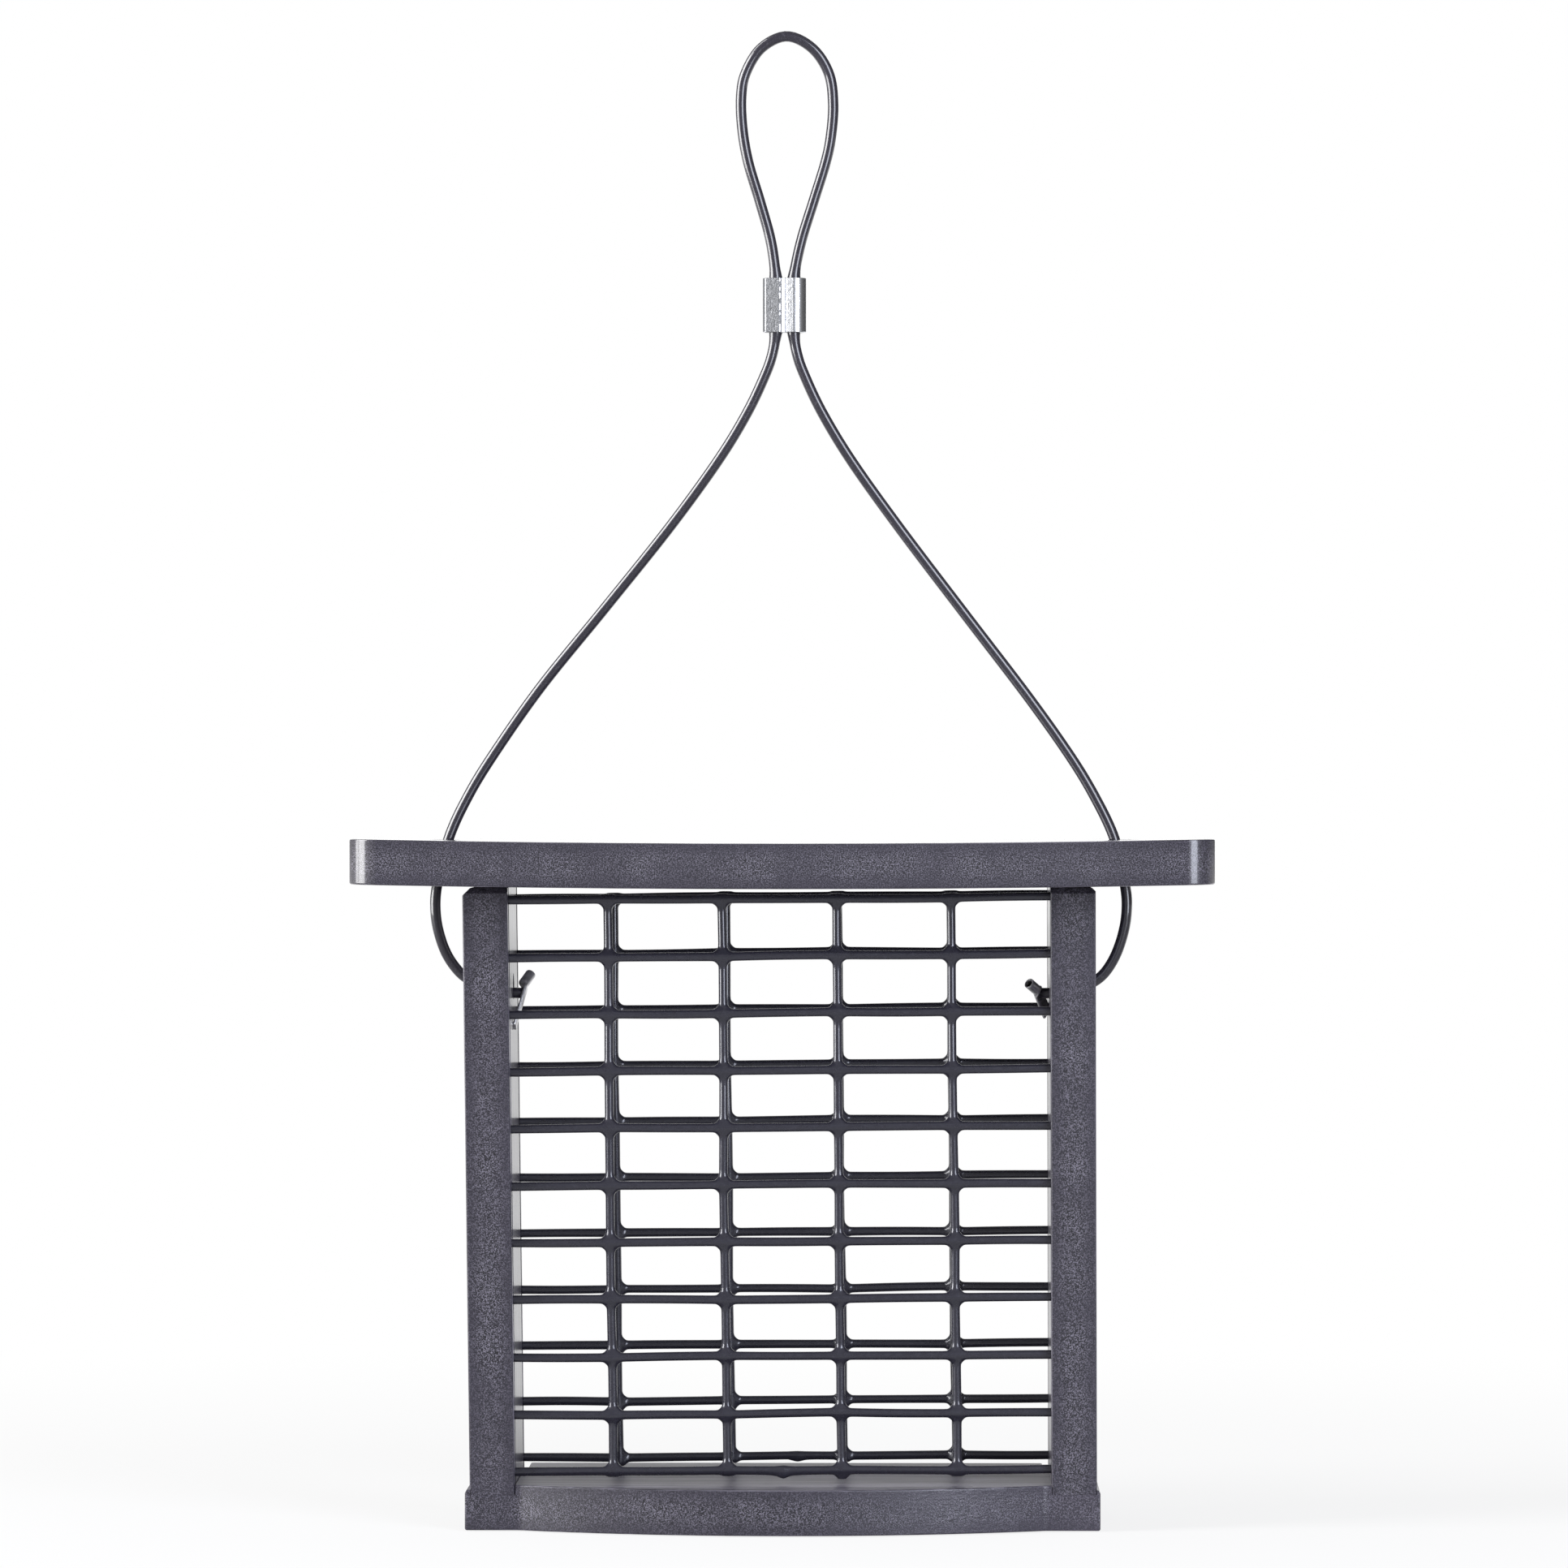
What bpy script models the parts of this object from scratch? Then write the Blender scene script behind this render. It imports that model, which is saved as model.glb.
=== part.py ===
"""Suet feeder: a flat roof and a flat base of recycled board, two grooved posts,
two panels of coated welded mesh that slide into the grooves, and a coated steel
cable that carries it all. The roof slides up the cable to open the bay."""

import math

import bmesh
import bpy
from mathutils import Matrix, Vector

OBJECT_NAME = "suet_feeder"

# Fits shared by all pieces, in metres
CLEARANCE = 0.0003
CUT_OVERRUN = 0.003
EASED_EDGE = 0.0004
MERGE_DISTANCE = 0.000001
SHARP_ANGLE = math.radians(50)

# The bay for the cake, and the two posts beside it
BAY_WIDTH = 0.119
POST_THICKNESS = 0.010
POST_DEPTH = 0.048
POST_LENGTH = 0.1337
POST_TOP_CHAMFER = 0.0012
LEFT_OUTER_CHAMFER = 0.0017
RIGHT_OUTER_CHAMFER = 0.0007
GROOVE_LIP = 0.0026
GROOVE_DEPTH = 0.0058
POST_HOLE_DIAMETER = 0.0060
POST_HOLE_DROP = 0.0223

# The base, with a bowed front edge, a straight back with rounded corners, and a dado under each post
BASE_THICKNESS = 0.010
BASE_LIP = 0.00075
LIP_SLOPE_HEIGHT = 0.0014
DADO_DEPTH = 0.002
BASE_BULGE = 0.014
BULGE_SETBACK = 0.0005
BULGE_CORNER_RADIUS = 0.0035
BACK_CORNER_RADIUS = 0.0095
BACK_HOLLOW_RADIUS = 0.0006

# The roof board, bowed a little so that its ends sit high. It overhangs the posts, and
# its cable holes lie just outside them.
ROOF_END_OVERHANG = 0.02575
ROOF_FRONT_OVERHANG = 0.0141
ROOF_THICKNESS = 0.010
ROOF_CORNER_RADIUS = 0.0064
ROOF_END_RISE = 0.001
ROOF_HOLE_DIAMETER = 0.007
ROOF_HOLE_STAND_OFF = 0.0063

# The welded mesh: coated wires, the level ones outside and the upright ones inside
WIRE_DIAMETER = 0.00195
WIRE_LAYER_STEP = 0.0009
MESH_PITCH_ACROSS = 0.0254
MESH_PITCH_UP = 0.0127
MESH_STAND_OFF = 0.003
STUB_BELOW = 0.0021
STUB_ABOVE = 0.0012
WELD_REACH = 0.0020

# The cable, its loop ferrule and the stops on its two ends
CABLE_DIAMETER = 0.0024
CORE_DIAMETER = 0.0015
FERRULE_BOTTOM = 0.266
FERRULE_LENGTH = 0.0122
FERRULE_BARREL_DIAMETER = 0.0053
CABLE_SPACING = 0.0042
FERRULE_WAIST_SHARE = 0.74
STOP_LENGTH = 0.0132
STOP_DIAMETER = 0.0024
STOP_BORE = 0.0016
STOP_ROUND_LENGTH = 0.0024
STOP_PINCH_LENGTH = 0.0009
STOP_FLAT_THICKNESS = 0.0009
STOP_FLAT_WIDTH = 0.0033
STOP_STAND_OFF = 0.0029
STOP_CROSSING_SHARE = 0.35
STOP_LEAN = math.radians(14)
LEFT_STOP_TURN = math.radians(-23)
RIGHT_STOP_TURN = math.radians(54)
STOP_SAG = 0.0015
SHEATH_END_STAND_OFF = 0.0017
PEENED_HEAD_DIAMETER = 0.0021
PEENED_HEAD_LENGTH = 0.0004

# Flat-head screws from the base up into the posts
SCREW_SHANK_DIAMETER = 0.003
SCREW_HEAD_DIAMETER = 0.0065
SCREW_RIM_LENGTH = 0.0003
SCREW_CONE_LENGTH = 0.0019
SCREW_LENGTH = 0.022
SCREW_POINT_LENGTH = 0.003
SCREW_SPACING = 0.020

# How finely round shapes are drawn
EASED_STEPS = 2
WIRE_SIDES = 8
FILLET_STEPS = 3
CORNER_STEPS = 10
BULGE_STEPS = 20
BOW_STEPS = 10
TURNED_STEPS = 12
BORE_STEPS = 20
BARREL_STEPS = 28
STOP_SIDES = 16
PINCH_STEPS = 3
CABLE_BEVEL_RESOLUTION = 2
LOOP_POINTS = 28
LEG_POINTS = 18
TAIL_POINTS = 8
ROUTE_DETAIL = 24

# The cable's route as it hangs, in metres: across and up, in the plane y = 0
LOOP_ROUTE = [
    (-0.0021, 0.2690), (-0.0021, 0.2740), (-0.0021, 0.2790), (-0.0031, 0.2867),
    (-0.0054, 0.2954), (-0.0080, 0.3041), (-0.0093, 0.3115), (-0.0096, 0.3187),
    (-0.0086, 0.3241), (-0.0051, 0.3297), (0.0006, 0.33235), (0.0063, 0.3297),
    (0.0100, 0.3241), (0.0110, 0.3173), (0.0105, 0.3100), (0.0093, 0.3041),
    (0.0066, 0.2954), (0.0039, 0.2867), (0.0022, 0.2790), (0.0021, 0.2740),
    (0.0021, 0.2690),
]
LEFT_LEG_ROUTE = [
    (-0.0021, 0.2687), (-0.0021, 0.2655), (-0.0027, 0.2613), (-0.0041, 0.2569),
    (-0.0082, 0.2482), (-0.0147, 0.2375), (-0.0256, 0.2225), (-0.0401, 0.2044),
    (-0.0547, 0.1864), (-0.0662, 0.1699), (-0.0717, 0.1605), (-0.0749, 0.1534),
    (-0.0763, 0.1479),
]
LEFT_TAIL_ROUTE = [
    (-0.0764, 0.1476), (-0.0776, 0.1430), (-0.0781, 0.1382), (-0.0776, 0.1330),
    (-0.0758, 0.1274), (-0.0730, 0.1232), (-0.0700, 0.1209), (-0.0665, 0.1196),
    (-0.0632, 0.1187), (-0.0605, 0.1183), (-0.0578, 0.1182),
]
RIGHT_LEG_ROUTE = [
    (0.0021, 0.2687), (0.0021, 0.2655), (0.0029, 0.2613), (0.0044, 0.2569),
    (0.0085, 0.2482), (0.0153, 0.2370), (0.0262, 0.2218), (0.0407, 0.2027),
    (0.0552, 0.1837), (0.0649, 0.1699), (0.0704, 0.1605), (0.0737, 0.1534),
    (0.0751, 0.1479),
]
RIGHT_TAIL_ROUTE = [
    (0.0752, 0.1476), (0.0762, 0.1430), (0.0767, 0.1382), (0.0762, 0.1330),
    (0.0745, 0.1274), (0.0721, 0.1232), (0.0694, 0.1208), (0.0661, 0.1195),
    (0.0630, 0.1187), (0.0604, 0.1183), (0.0578, 0.1182),
]

# Places that follow from the sizes above
BAY_HALF = BAY_WIDTH / 2
POST_CENTRE = BAY_HALF + POST_THICKNESS / 2
POST_OUTER = BAY_HALF + POST_THICKNESS
POST_BOTTOM = BASE_THICKNESS - DADO_DEPTH + CLEARANCE
POST_TOP = POST_BOTTOM + POST_LENGTH
BASE_HALF = POST_OUTER + BASE_LIP
GROOVE_WIDTH = WIRE_DIAMETER + WIRE_LAYER_STEP + 2 * CLEARANCE
MESH_PLANE = POST_DEPTH / 2 - GROOVE_LIP - GROOVE_WIDTH / 2
MESH_HALF = BAY_HALF + GROOVE_DEPTH - CLEARANCE
MESH_BOTTOM = BASE_THICKNESS + MESH_STAND_OFF
ROOF_HALF_LENGTH = POST_OUTER + ROOF_END_OVERHANG
ROOF_HALF_DEPTH = POST_DEPTH / 2 + ROOF_FRONT_OVERHANG
BASE_BACK = ROOF_HALF_DEPTH
ROOF_HOLE_REACH = POST_OUTER + ROOF_HOLE_STAND_OFF
POST_HOLE_HEIGHT = POST_TOP - POST_HOLE_DROP
STOP_HEIGHT = POST_HOLE_HEIGHT - STOP_SAG
SCREW_BOTTOM = CLEARANCE


def roof_bow(x):
    """How far the roof board rises above its lowest line at this x."""
    return ROOF_END_RISE * (x / ROOF_HALF_LENGTH) ** 2


ROOF_BOTTOM = POST_TOP + CLEARANCE - roof_bow(BAY_HALF)


# Scene, collections and materials

def clear_scene():
    for obj in list(bpy.data.objects):
        bpy.data.objects.remove(obj, do_unlink=True)


def new_collection(name):
    collection = bpy.data.collections.new(name)
    bpy.context.scene.collection.children.link(collection)
    return collection


def new_material(name, colour, roughness, metallic):
    material = bpy.data.materials.new(name)
    material.use_nodes = True
    shader = material.node_tree.nodes["Principled BSDF"]
    shader.inputs["Base Color"].default_value = (*colour, 1.0)
    shader.inputs["Roughness"].default_value = roughness
    shader.inputs["Metallic"].default_value = metallic
    return material


def board_material(name):
    return new_material(name, (0.085, 0.078, 0.098), 0.5, 0.0)


def coating_material(name):
    return new_material(name, (0.022, 0.022, 0.034), 0.25, 0.0)


def sheath_material(name):
    return new_material(name, (0.030, 0.029, 0.042), 0.2, 0.0)


def bright_metal_material(name):
    return new_material(name, (0.60, 0.61, 0.64), 0.3, 1.0)


def steel_material(name):
    return new_material(name, (0.42, 0.42, 0.43), 0.35, 1.0)


# Objects and operations on them

def add_object(name, mesh, collection, material=None):
    obj = bpy.data.objects.new(name, mesh)
    collection.objects.link(obj)
    if material is not None:
        mesh.materials.clear()
        mesh.materials.append(material)
    return obj


def add_bmesh(name, bm, collection, material=None):
    bmesh.ops.recalc_face_normals(bm, faces=bm.faces)
    mesh = bpy.data.meshes.new(name)
    bm.to_mesh(mesh)
    bm.free()
    return add_object(name, mesh, collection, material)


def add_cutter(name, bm):
    return hide_guide(add_bmesh(name, bm, CUTTERS))


def hide_guide(guide):
    guide.hide_render = True
    guide.display_type = "WIRE"
    return guide


def evaluated_mesh(obj):
    """The mesh of an object with its modifiers, or of a curve, with its caps welded."""
    graph = bpy.context.evaluated_depsgraph_get()
    mesh = bpy.data.meshes.new_from_object(obj.evaluated_get(graph))
    bm = bmesh.new()
    bm.from_mesh(mesh)
    bmesh.ops.remove_doubles(bm, verts=bm.verts, dist=MERGE_DISTANCE)
    bm.to_mesh(mesh)
    bm.free()
    return mesh


def boolean(obj, other, operation="DIFFERENCE"):
    modifier = obj.modifiers.new(other.name, "BOOLEAN")
    modifier.operation = operation
    modifier.solver = "EXACT"
    modifier.object = other


def ease_edges(obj):
    modifier = obj.modifiers.new("eased_edges", "BEVEL")
    modifier.width = EASED_EDGE
    modifier.segments = EASED_STEPS
    modifier.limit_method = "ANGLE"
    modifier.angle_limit = SHARP_ANGLE


def shade_smooth(obj):
    obj.data.shade_smooth()
    obj.data.set_sharp_from_angle(angle=SHARP_ANGLE)


def box_bmesh(low, high):
    bm = bmesh.new()
    size = Vector(high) - Vector(low)
    centre = (Vector(high) + Vector(low)) / 2
    bmesh.ops.create_cube(bm, size=1.0, matrix=Matrix.Translation(centre) @ Matrix.Diagonal((*size, 1)))
    return bm


def round_uprights(bm, radius, steps):
    """Rounds the upright edges of a box."""
    upright = [edge for edge in bm.edges if abs(edge.verts[0].co.z - edge.verts[1].co.z) > MERGE_DISTANCE]
    bmesh.ops.bevel(bm, geom=upright, offset=radius, offset_type="OFFSET", segments=steps,
                    profile=0.5, affect="EDGES", material=-1)


def cylinder_bmesh(radius, start, end, steps):
    """A closed cylinder from one point to another."""
    start = Vector(start)
    end = Vector(end)
    along = end - start
    turn = along.to_track_quat("Z", "Y").to_matrix().to_4x4()
    bm = bmesh.new()
    bmesh.ops.create_cone(bm, cap_ends=True, segments=steps, radius1=radius, radius2=radius,
                          depth=along.length, matrix=Matrix.Translation((start + end) / 2) @ turn)
    return bm


def flat_plate(name, outline, thickness):
    """A closed plate in the XY plane from a 2D curve, its caps welded and each one face."""
    curve = bpy.data.curves.new(name, "CURVE")
    curve.dimensions = "2D"
    curve.fill_mode = "BOTH"
    curve.extrude = thickness / 2
    spline = curve.splines.new("POLY")
    spline.points.add(len(outline) - 1)
    for point, (x, y) in zip(spline.points, outline):
        point.co = (x, y, 0, 1)
    spline.use_cyclic_u = True
    holder = bpy.data.objects.new(name, curve)
    CUTTERS.objects.link(holder)
    mesh = evaluated_mesh(holder)
    bpy.data.objects.remove(holder)
    bpy.data.curves.remove(curve)
    bm = bmesh.new()
    bm.from_mesh(mesh)
    bpy.data.meshes.remove(mesh)
    caps = {face for face in bm.faces
            if all(vert.co.z * face.verts[0].co.z > 0 for vert in face.verts)}
    flat = [edge for edge in bm.edges if set(edge.link_faces) <= caps]
    bmesh.ops.dissolve_edges(bm, edges=flat, use_verts=False)
    return bm


def turned(name, profile, collection, material=None):
    """A turned solid about Z, from a profile that runs from its top down to its bottom."""
    mesh = bpy.data.meshes.new(name)
    edges = [(k, k + 1) for k in range(len(profile) - 1)]
    mesh.from_pydata([(radius, 0, height) for radius, height in profile], edges, [])
    obj = add_object(name, mesh, collection, material)
    screw = obj.modifiers.new("turned", "SCREW")
    screw.steps = TURNED_STEPS
    screw.render_steps = TURNED_STEPS
    screw.use_merge_vertices = True
    screw.merge_threshold = MERGE_DISTANCE
    screw.use_smooth_shade = False
    return obj


# The two boards and the posts

def arc(centre, radius, start, end, steps):
    """Points on an arc, both ends included."""
    angles = [start + (end - start) * k / steps for k in range(steps + 1)]
    return [(centre[0] + radius * math.cos(a), centre[1] + radius * math.sin(a)) for a in angles]


def base_outline():
    """The base from above. Its ends are as deep as the posts. Between them the front bows out
    from a small hollow arc at each end, and the back steps out to a straight edge, flush
    with the roof's, with rounded corners."""
    end_y = POST_DEPTH / 2
    start_x = BAY_HALF - BULGE_SETBACK
    right = math.pi / 2
    reach = (start_x ** 2 + BASE_BULGE ** 2) / (2 * BASE_BULGE)
    bow_radius = reach - BULGE_CORNER_RADIUS
    bow_centre = bow_radius - end_y - BASE_BULGE
    swing = math.asin(start_x / reach)
    hollow_y = -end_y - BULGE_CORNER_RADIUS
    front_edge = (
        [(-BASE_HALF, -end_y)]
        + arc((-start_x, hollow_y), BULGE_CORNER_RADIUS, right, right - swing, FILLET_STEPS)
        + arc((0, bow_centre), bow_radius, -right - swing, -right + swing, BULGE_STEPS)[1:-1]
        + arc((start_x, hollow_y), BULGE_CORNER_RADIUS, right + swing, right, FILLET_STEPS)
        + [(BASE_HALF, -end_y)]
    )
    side_x = start_x - BACK_HOLLOW_RADIUS
    corner = (side_x - BACK_CORNER_RADIUS, BASE_BACK - BACK_CORNER_RADIUS)
    right_half = (
        [(BASE_HALF, end_y)]
        + arc((start_x, end_y + BACK_HOLLOW_RADIUS), BACK_HOLLOW_RADIUS, -right, -2 * right, FILLET_STEPS)
        + arc(corner, BACK_CORNER_RADIUS, 0, right, CORNER_STEPS)
    )
    left_half = [(-x, y) for x, y in reversed(right_half)]
    return front_edge + right_half + left_half


def build_base():
    bm = flat_plate("base_outline", base_outline(), BASE_THICKNESS)
    bmesh.ops.translate(bm, verts=bm.verts, vec=(0, 0, BASE_THICKNESS / 2))
    base = add_bmesh("base", bm, PARTS, board_material("base"))
    ease_edges(base)
    for side in (-1, 1):
        boolean(base, dado_cutter(side))
        boolean(base, lip_slope_cutter(side))
    shade_smooth(base)
    return base


def dado_cutter(side):
    """The channel across the base that a post's foot stands in."""
    inner = side * (BAY_HALF - CLEARANCE)
    outer = side * (POST_OUTER + CLEARANCE)
    reach = POST_DEPTH / 2 + CUT_OVERRUN
    low = (min(inner, outer), -reach, BASE_THICKNESS - DADO_DEPTH)
    high = (max(inner, outer), reach, BASE_THICKNESS + CUT_OVERRUN)
    return add_cutter(side_name(side, "dado_cutter"), box_bmesh(low, high))


def lip_slope_cutter(side):
    """A box whose floor is the slope from the post's foot down and out to the base's end."""
    slope = math.atan2(LIP_SLOPE_HEIGHT, BASE_LIP)
    length = math.hypot(LIP_SLOPE_HEIGHT, BASE_LIP) + CUT_OVERRUN
    reach = POST_DEPTH / 2 + CUT_OVERRUN
    bm = box_bmesh((-length, -reach, 0), (length, reach, length))
    turn = Matrix.Rotation(side * slope, 4, "Y")
    foot = Vector((side * POST_OUTER, 0, BASE_THICKNESS - EASED_EDGE))
    bmesh.ops.transform(bm, verts=bm.verts, matrix=Matrix.Translation(foot) @ turn)
    return add_cutter(side_name(side, "lip_slope_cutter"), bm)


def build_roof():
    bm = box_bmesh((-ROOF_HALF_LENGTH, -ROOF_HALF_DEPTH, 0),
                   (ROOF_HALF_LENGTH, ROOF_HALF_DEPTH, ROOF_THICKNESS))
    round_uprights(bm, ROOF_CORNER_RADIUS, CORNER_STEPS)
    bow_half = ROOF_HALF_LENGTH - ROOF_CORNER_RADIUS
    for k in range(BOW_STEPS + 1):
        x = bow_half * (2 * k / BOW_STEPS - 1)
        bmesh.ops.bisect_plane(bm, geom=bm.verts[:] + bm.edges[:] + bm.faces[:], dist=MERGE_DISTANCE,
                               plane_co=(x, 0, 0), plane_no=(1, 0, 0))
    for vert in bm.verts:
        vert.co.z += ROOF_BOTTOM + roof_bow(vert.co.x)
    roof = add_bmesh("roof", bm, PARTS, board_material("roof"))
    ease_edges(roof)
    for side in (-1, 1):
        x = side * ROOF_HOLE_REACH
        hole = cylinder_bmesh(ROOF_HOLE_DIAMETER / 2, (x, 0, ROOF_BOTTOM - CUT_OVERRUN),
                              (x, 0, ROOF_BOTTOM + ROOF_THICKNESS + ROOF_END_RISE + CUT_OVERRUN), BORE_STEPS)
        boolean(roof, add_cutter(side_name(side, "roof_hole_cutter"), hole))
    shade_smooth(roof)
    return roof


def side_name(side, name):
    return ("left_" if side < 0 else "right_") + name


def groove_cutter(side, face):
    """A saw groove down a post's inner face, open at the top so that a panel slides in."""
    mouth = side * (BAY_HALF - CUT_OVERRUN)
    floor = side * (BAY_HALF + GROOVE_DEPTH)
    near = face * MESH_PLANE - GROOVE_WIDTH / 2
    far = face * MESH_PLANE + GROOVE_WIDTH / 2
    low = (min(mouth, floor), near, POST_BOTTOM - CUT_OVERRUN)
    high = (max(mouth, floor), far, POST_TOP + CUT_OVERRUN)
    name = "front_groove_cutter" if face < 0 else "back_groove_cutter"
    return add_cutter(side_name(side, name), box_bmesh(low, high))


def post_hole_cutter(side):
    start = (side * (BAY_HALF - CUT_OVERRUN), 0, POST_HOLE_HEIGHT)
    end = (side * (POST_OUTER + CUT_OVERRUN), 0, POST_HOLE_HEIGHT)
    return add_cutter(side_name(side, "post_hole_cutter"),
                      cylinder_bmesh(POST_HOLE_DIAMETER / 2, start, end, BORE_STEPS))


def slice_off(bm, place, normal):
    """Cuts a corner off a closed body at a plane and closes the cut."""
    geometry = bm.verts[:] + bm.edges[:] + bm.faces[:]
    cut = bmesh.ops.bisect_plane(bm, geom=geometry, dist=MERGE_DISTANCE, plane_co=place,
                                 plane_no=normal, clear_outer=True)
    rim = [item for item in cut["geom_cut"] if isinstance(item, bmesh.types.BMEdge)]
    bmesh.ops.holes_fill(bm, edges=rim, sides=0)


def build_post(side, outer_chamfer):
    name = side_name(side, "post")
    half_depth = POST_DEPTH / 2
    inner = side * BAY_HALF
    outer = side * POST_OUTER
    bm = box_bmesh((min(inner, outer), -half_depth, POST_BOTTOM), (max(inner, outer), half_depth, POST_TOP))
    round_uprights(bm, EASED_EDGE, EASED_STEPS)
    slice_off(bm, (outer, 0, POST_TOP - outer_chamfer), (side, 0, 1))
    for face in (-1, 1):
        slice_off(bm, (0, face * half_depth, POST_TOP - POST_TOP_CHAMFER), (0, face, 1))
    post = add_bmesh(name, bm, PARTS, board_material(name))
    for face in (-1, 1):
        boolean(post, groove_cutter(side, face))
    boolean(post, post_hole_cutter(side))
    shade_smooth(post)
    return post


# The coated welded mesh

def wire_ring(bm, axis, layer, distance):
    """A ring of a wire's outline, square to its axis, at a distance from the crossing."""
    place = axis * distance + Vector((0, layer, 0))
    turn = axis.to_track_quat("Z", "Y").to_matrix().to_4x4()
    ring = bmesh.ops.create_circle(bm, cap_ends=False, segments=WIRE_SIDES, radius=WIRE_DIAMETER / 2,
                                   matrix=Matrix.Translation(place) @ turn)
    return ring["verts"]


def crossing_bmesh(arms):
    """One crossing about the origin: the coating that fills the corners between its wires,
    which is the hull of a ring on each arm, with the arms drawn out of it. An arm is its
    axis, its layer, which way it runs, how far its wire goes and whether it ends there."""
    bm = bmesh.new()
    rings = []
    for axis, layer, way, reach, is_end in arms:
        root = min(WELD_REACH, reach)
        ring = wire_ring(bm, axis, layer, way * root)
        rings.append((ring, axis * way * (reach - root), is_end))
    bmesh.ops.convex_hull(bm, input=bm.verts[:], use_existing_faces=False)
    for ring, draw, is_end in rings:
        if is_end and draw.length < MERGE_DISTANCE:
            continue
        members = set(ring)
        bmesh.ops.delete(bm, geom=[face for face in bm.faces if set(face.verts) <= members], context="FACES")
        if draw.length < MERGE_DISTANCE:
            continue
        rim = [edge for edge in bm.edges if edge.is_boundary and set(edge.verts) <= members]
        drawn = bmesh.ops.extrude_edge_only(bm, edges=rim)["geom"]
        tip = [item for item in drawn if isinstance(item, bmesh.types.BMVert)]
        bmesh.ops.translate(bm, verts=tip, vec=draw)
        if is_end:
            bmesh.ops.edgeloop_fill(bm, edges=[edge for edge in bm.edges if set(edge.verts) <= set(tip)])
    return bm


def panel_columns():
    """The x of each upright wire: as many as fit between the groove floors, on centre."""
    room = 2 * (MESH_HALF - WIRE_DIAMETER / 2)
    gaps = math.floor(room / MESH_PITCH_ACROSS)
    return [MESH_PITCH_ACROSS * (k - gaps / 2) for k in range(gaps + 1)]


def panel_rows():
    """The z of each level wire, from the lowest one up to the last that clears the roof."""
    room = POST_TOP - WIRE_DIAMETER / 2 - MESH_BOTTOM
    gaps = math.floor(room / MESH_PITCH_UP)
    return [MESH_BOTTOM + MESH_PITCH_UP * k for k in range(gaps + 1)]


def panel_bmesh():
    """A panel about the plane y = 0. Each crossing draws its right and its upper arm out
    to the next one, and the wires' free ends are closed."""
    across = Vector((1, 0, 0))
    up = Vector((0, 0, 1))
    outer = -WIRE_LAYER_STEP / 2
    inner = WIRE_LAYER_STEP / 2
    columns = panel_columns()
    rows = panel_rows()
    panel = bmesh.new()
    for x in columns:
        for z in rows:
            at_left = x == columns[0]
            at_right = x == columns[-1]
            at_bottom = z == rows[0]
            at_top = z == rows[-1]
            crossing = crossing_bmesh([
                (across, outer, -1, MESH_HALF + x if at_left else WELD_REACH, at_left),
                (across, outer, 1, MESH_HALF - x if at_right else MESH_PITCH_ACROSS - WELD_REACH, at_right),
                (up, inner, -1, STUB_BELOW if at_bottom else WELD_REACH, at_bottom),
                (up, inner, 1, STUB_ABOVE if at_top else MESH_PITCH_UP - WELD_REACH, at_top),
            ])
            bmesh.ops.translate(crossing, verts=crossing.verts, vec=(x, 0, z))
            copy = bpy.data.meshes.new("crossing_copy")
            crossing.to_mesh(copy)
            crossing.free()
            panel.from_mesh(copy)
            bpy.data.meshes.remove(copy)
    bmesh.ops.remove_doubles(panel, verts=panel.verts, dist=MERGE_DISTANCE)
    return panel


def build_panels():
    """Both panels are the same piece, the back one turned round."""
    front = panel_bmesh()
    back = front.copy()
    bmesh.ops.rotate(back, verts=back.verts, cent=(0, 0, 0), matrix=Matrix.Rotation(math.pi, 3, "Z"))
    bmesh.ops.translate(front, verts=front.verts, vec=(0, -MESH_PLANE, 0))
    bmesh.ops.translate(back, verts=back.verts, vec=(0, MESH_PLANE, 0))
    for name, bm in (("front_mesh", front), ("back_mesh", back)):
        shade_smooth(add_bmesh(name, bm, PARTS, coating_material(name)))


# The cable and what is on it

def smooth_route(route, count):
    """Evenly spaced points along one smooth curve through the route's own points."""
    points = [Vector((x, 0, z)) for x, z in route]
    points = [2 * points[0] - points[1]] + points + [2 * points[-1] - points[-2]]
    dense = []
    for before, start, end, after in zip(points, points[1:], points[2:], points[3:]):
        for k in range(ROUTE_DETAIL):
            t = k / ROUTE_DETAIL
            dense.append(0.5 * (2 * start + (end - before) * t
                                + (2 * before - 5 * start + 4 * end - after) * t ** 2
                                + (3 * start - before - 3 * end + after) * t ** 3))
    dense.append(points[-2])
    steps = [(b - a).length for a, b in zip(dense, dense[1:])]
    spacing = sum(steps) / (count - 1)
    placed = [dense[0]]
    travelled = 0
    for (a, b), step in zip(zip(dense, dense[1:]), steps):
        while len(placed) < count - 1 and travelled + step >= spacing * len(placed):
            placed.append(a.lerp(b, (spacing * len(placed) - travelled) / step))
        travelled += step
    return placed + [dense[-1]]


def build_cable(name, route, count):
    curve = bpy.data.curves.new(name, "CURVE")
    curve.dimensions = "3D"
    curve.bevel_depth = CABLE_DIAMETER / 2
    curve.bevel_resolution = CABLE_BEVEL_RESOLUTION
    curve.use_fill_caps = True
    spline = curve.splines.new("POLY")
    places = smooth_route(route, count)
    spline.points.add(len(places) - 1)
    for point, place in zip(spline.points, places):
        point.co = (*place, 1)
    curve.materials.append(sheath_material(name))
    cable = bpy.data.objects.new(name, curve)
    PARTS.objects.link(cable)
    return cable


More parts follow.
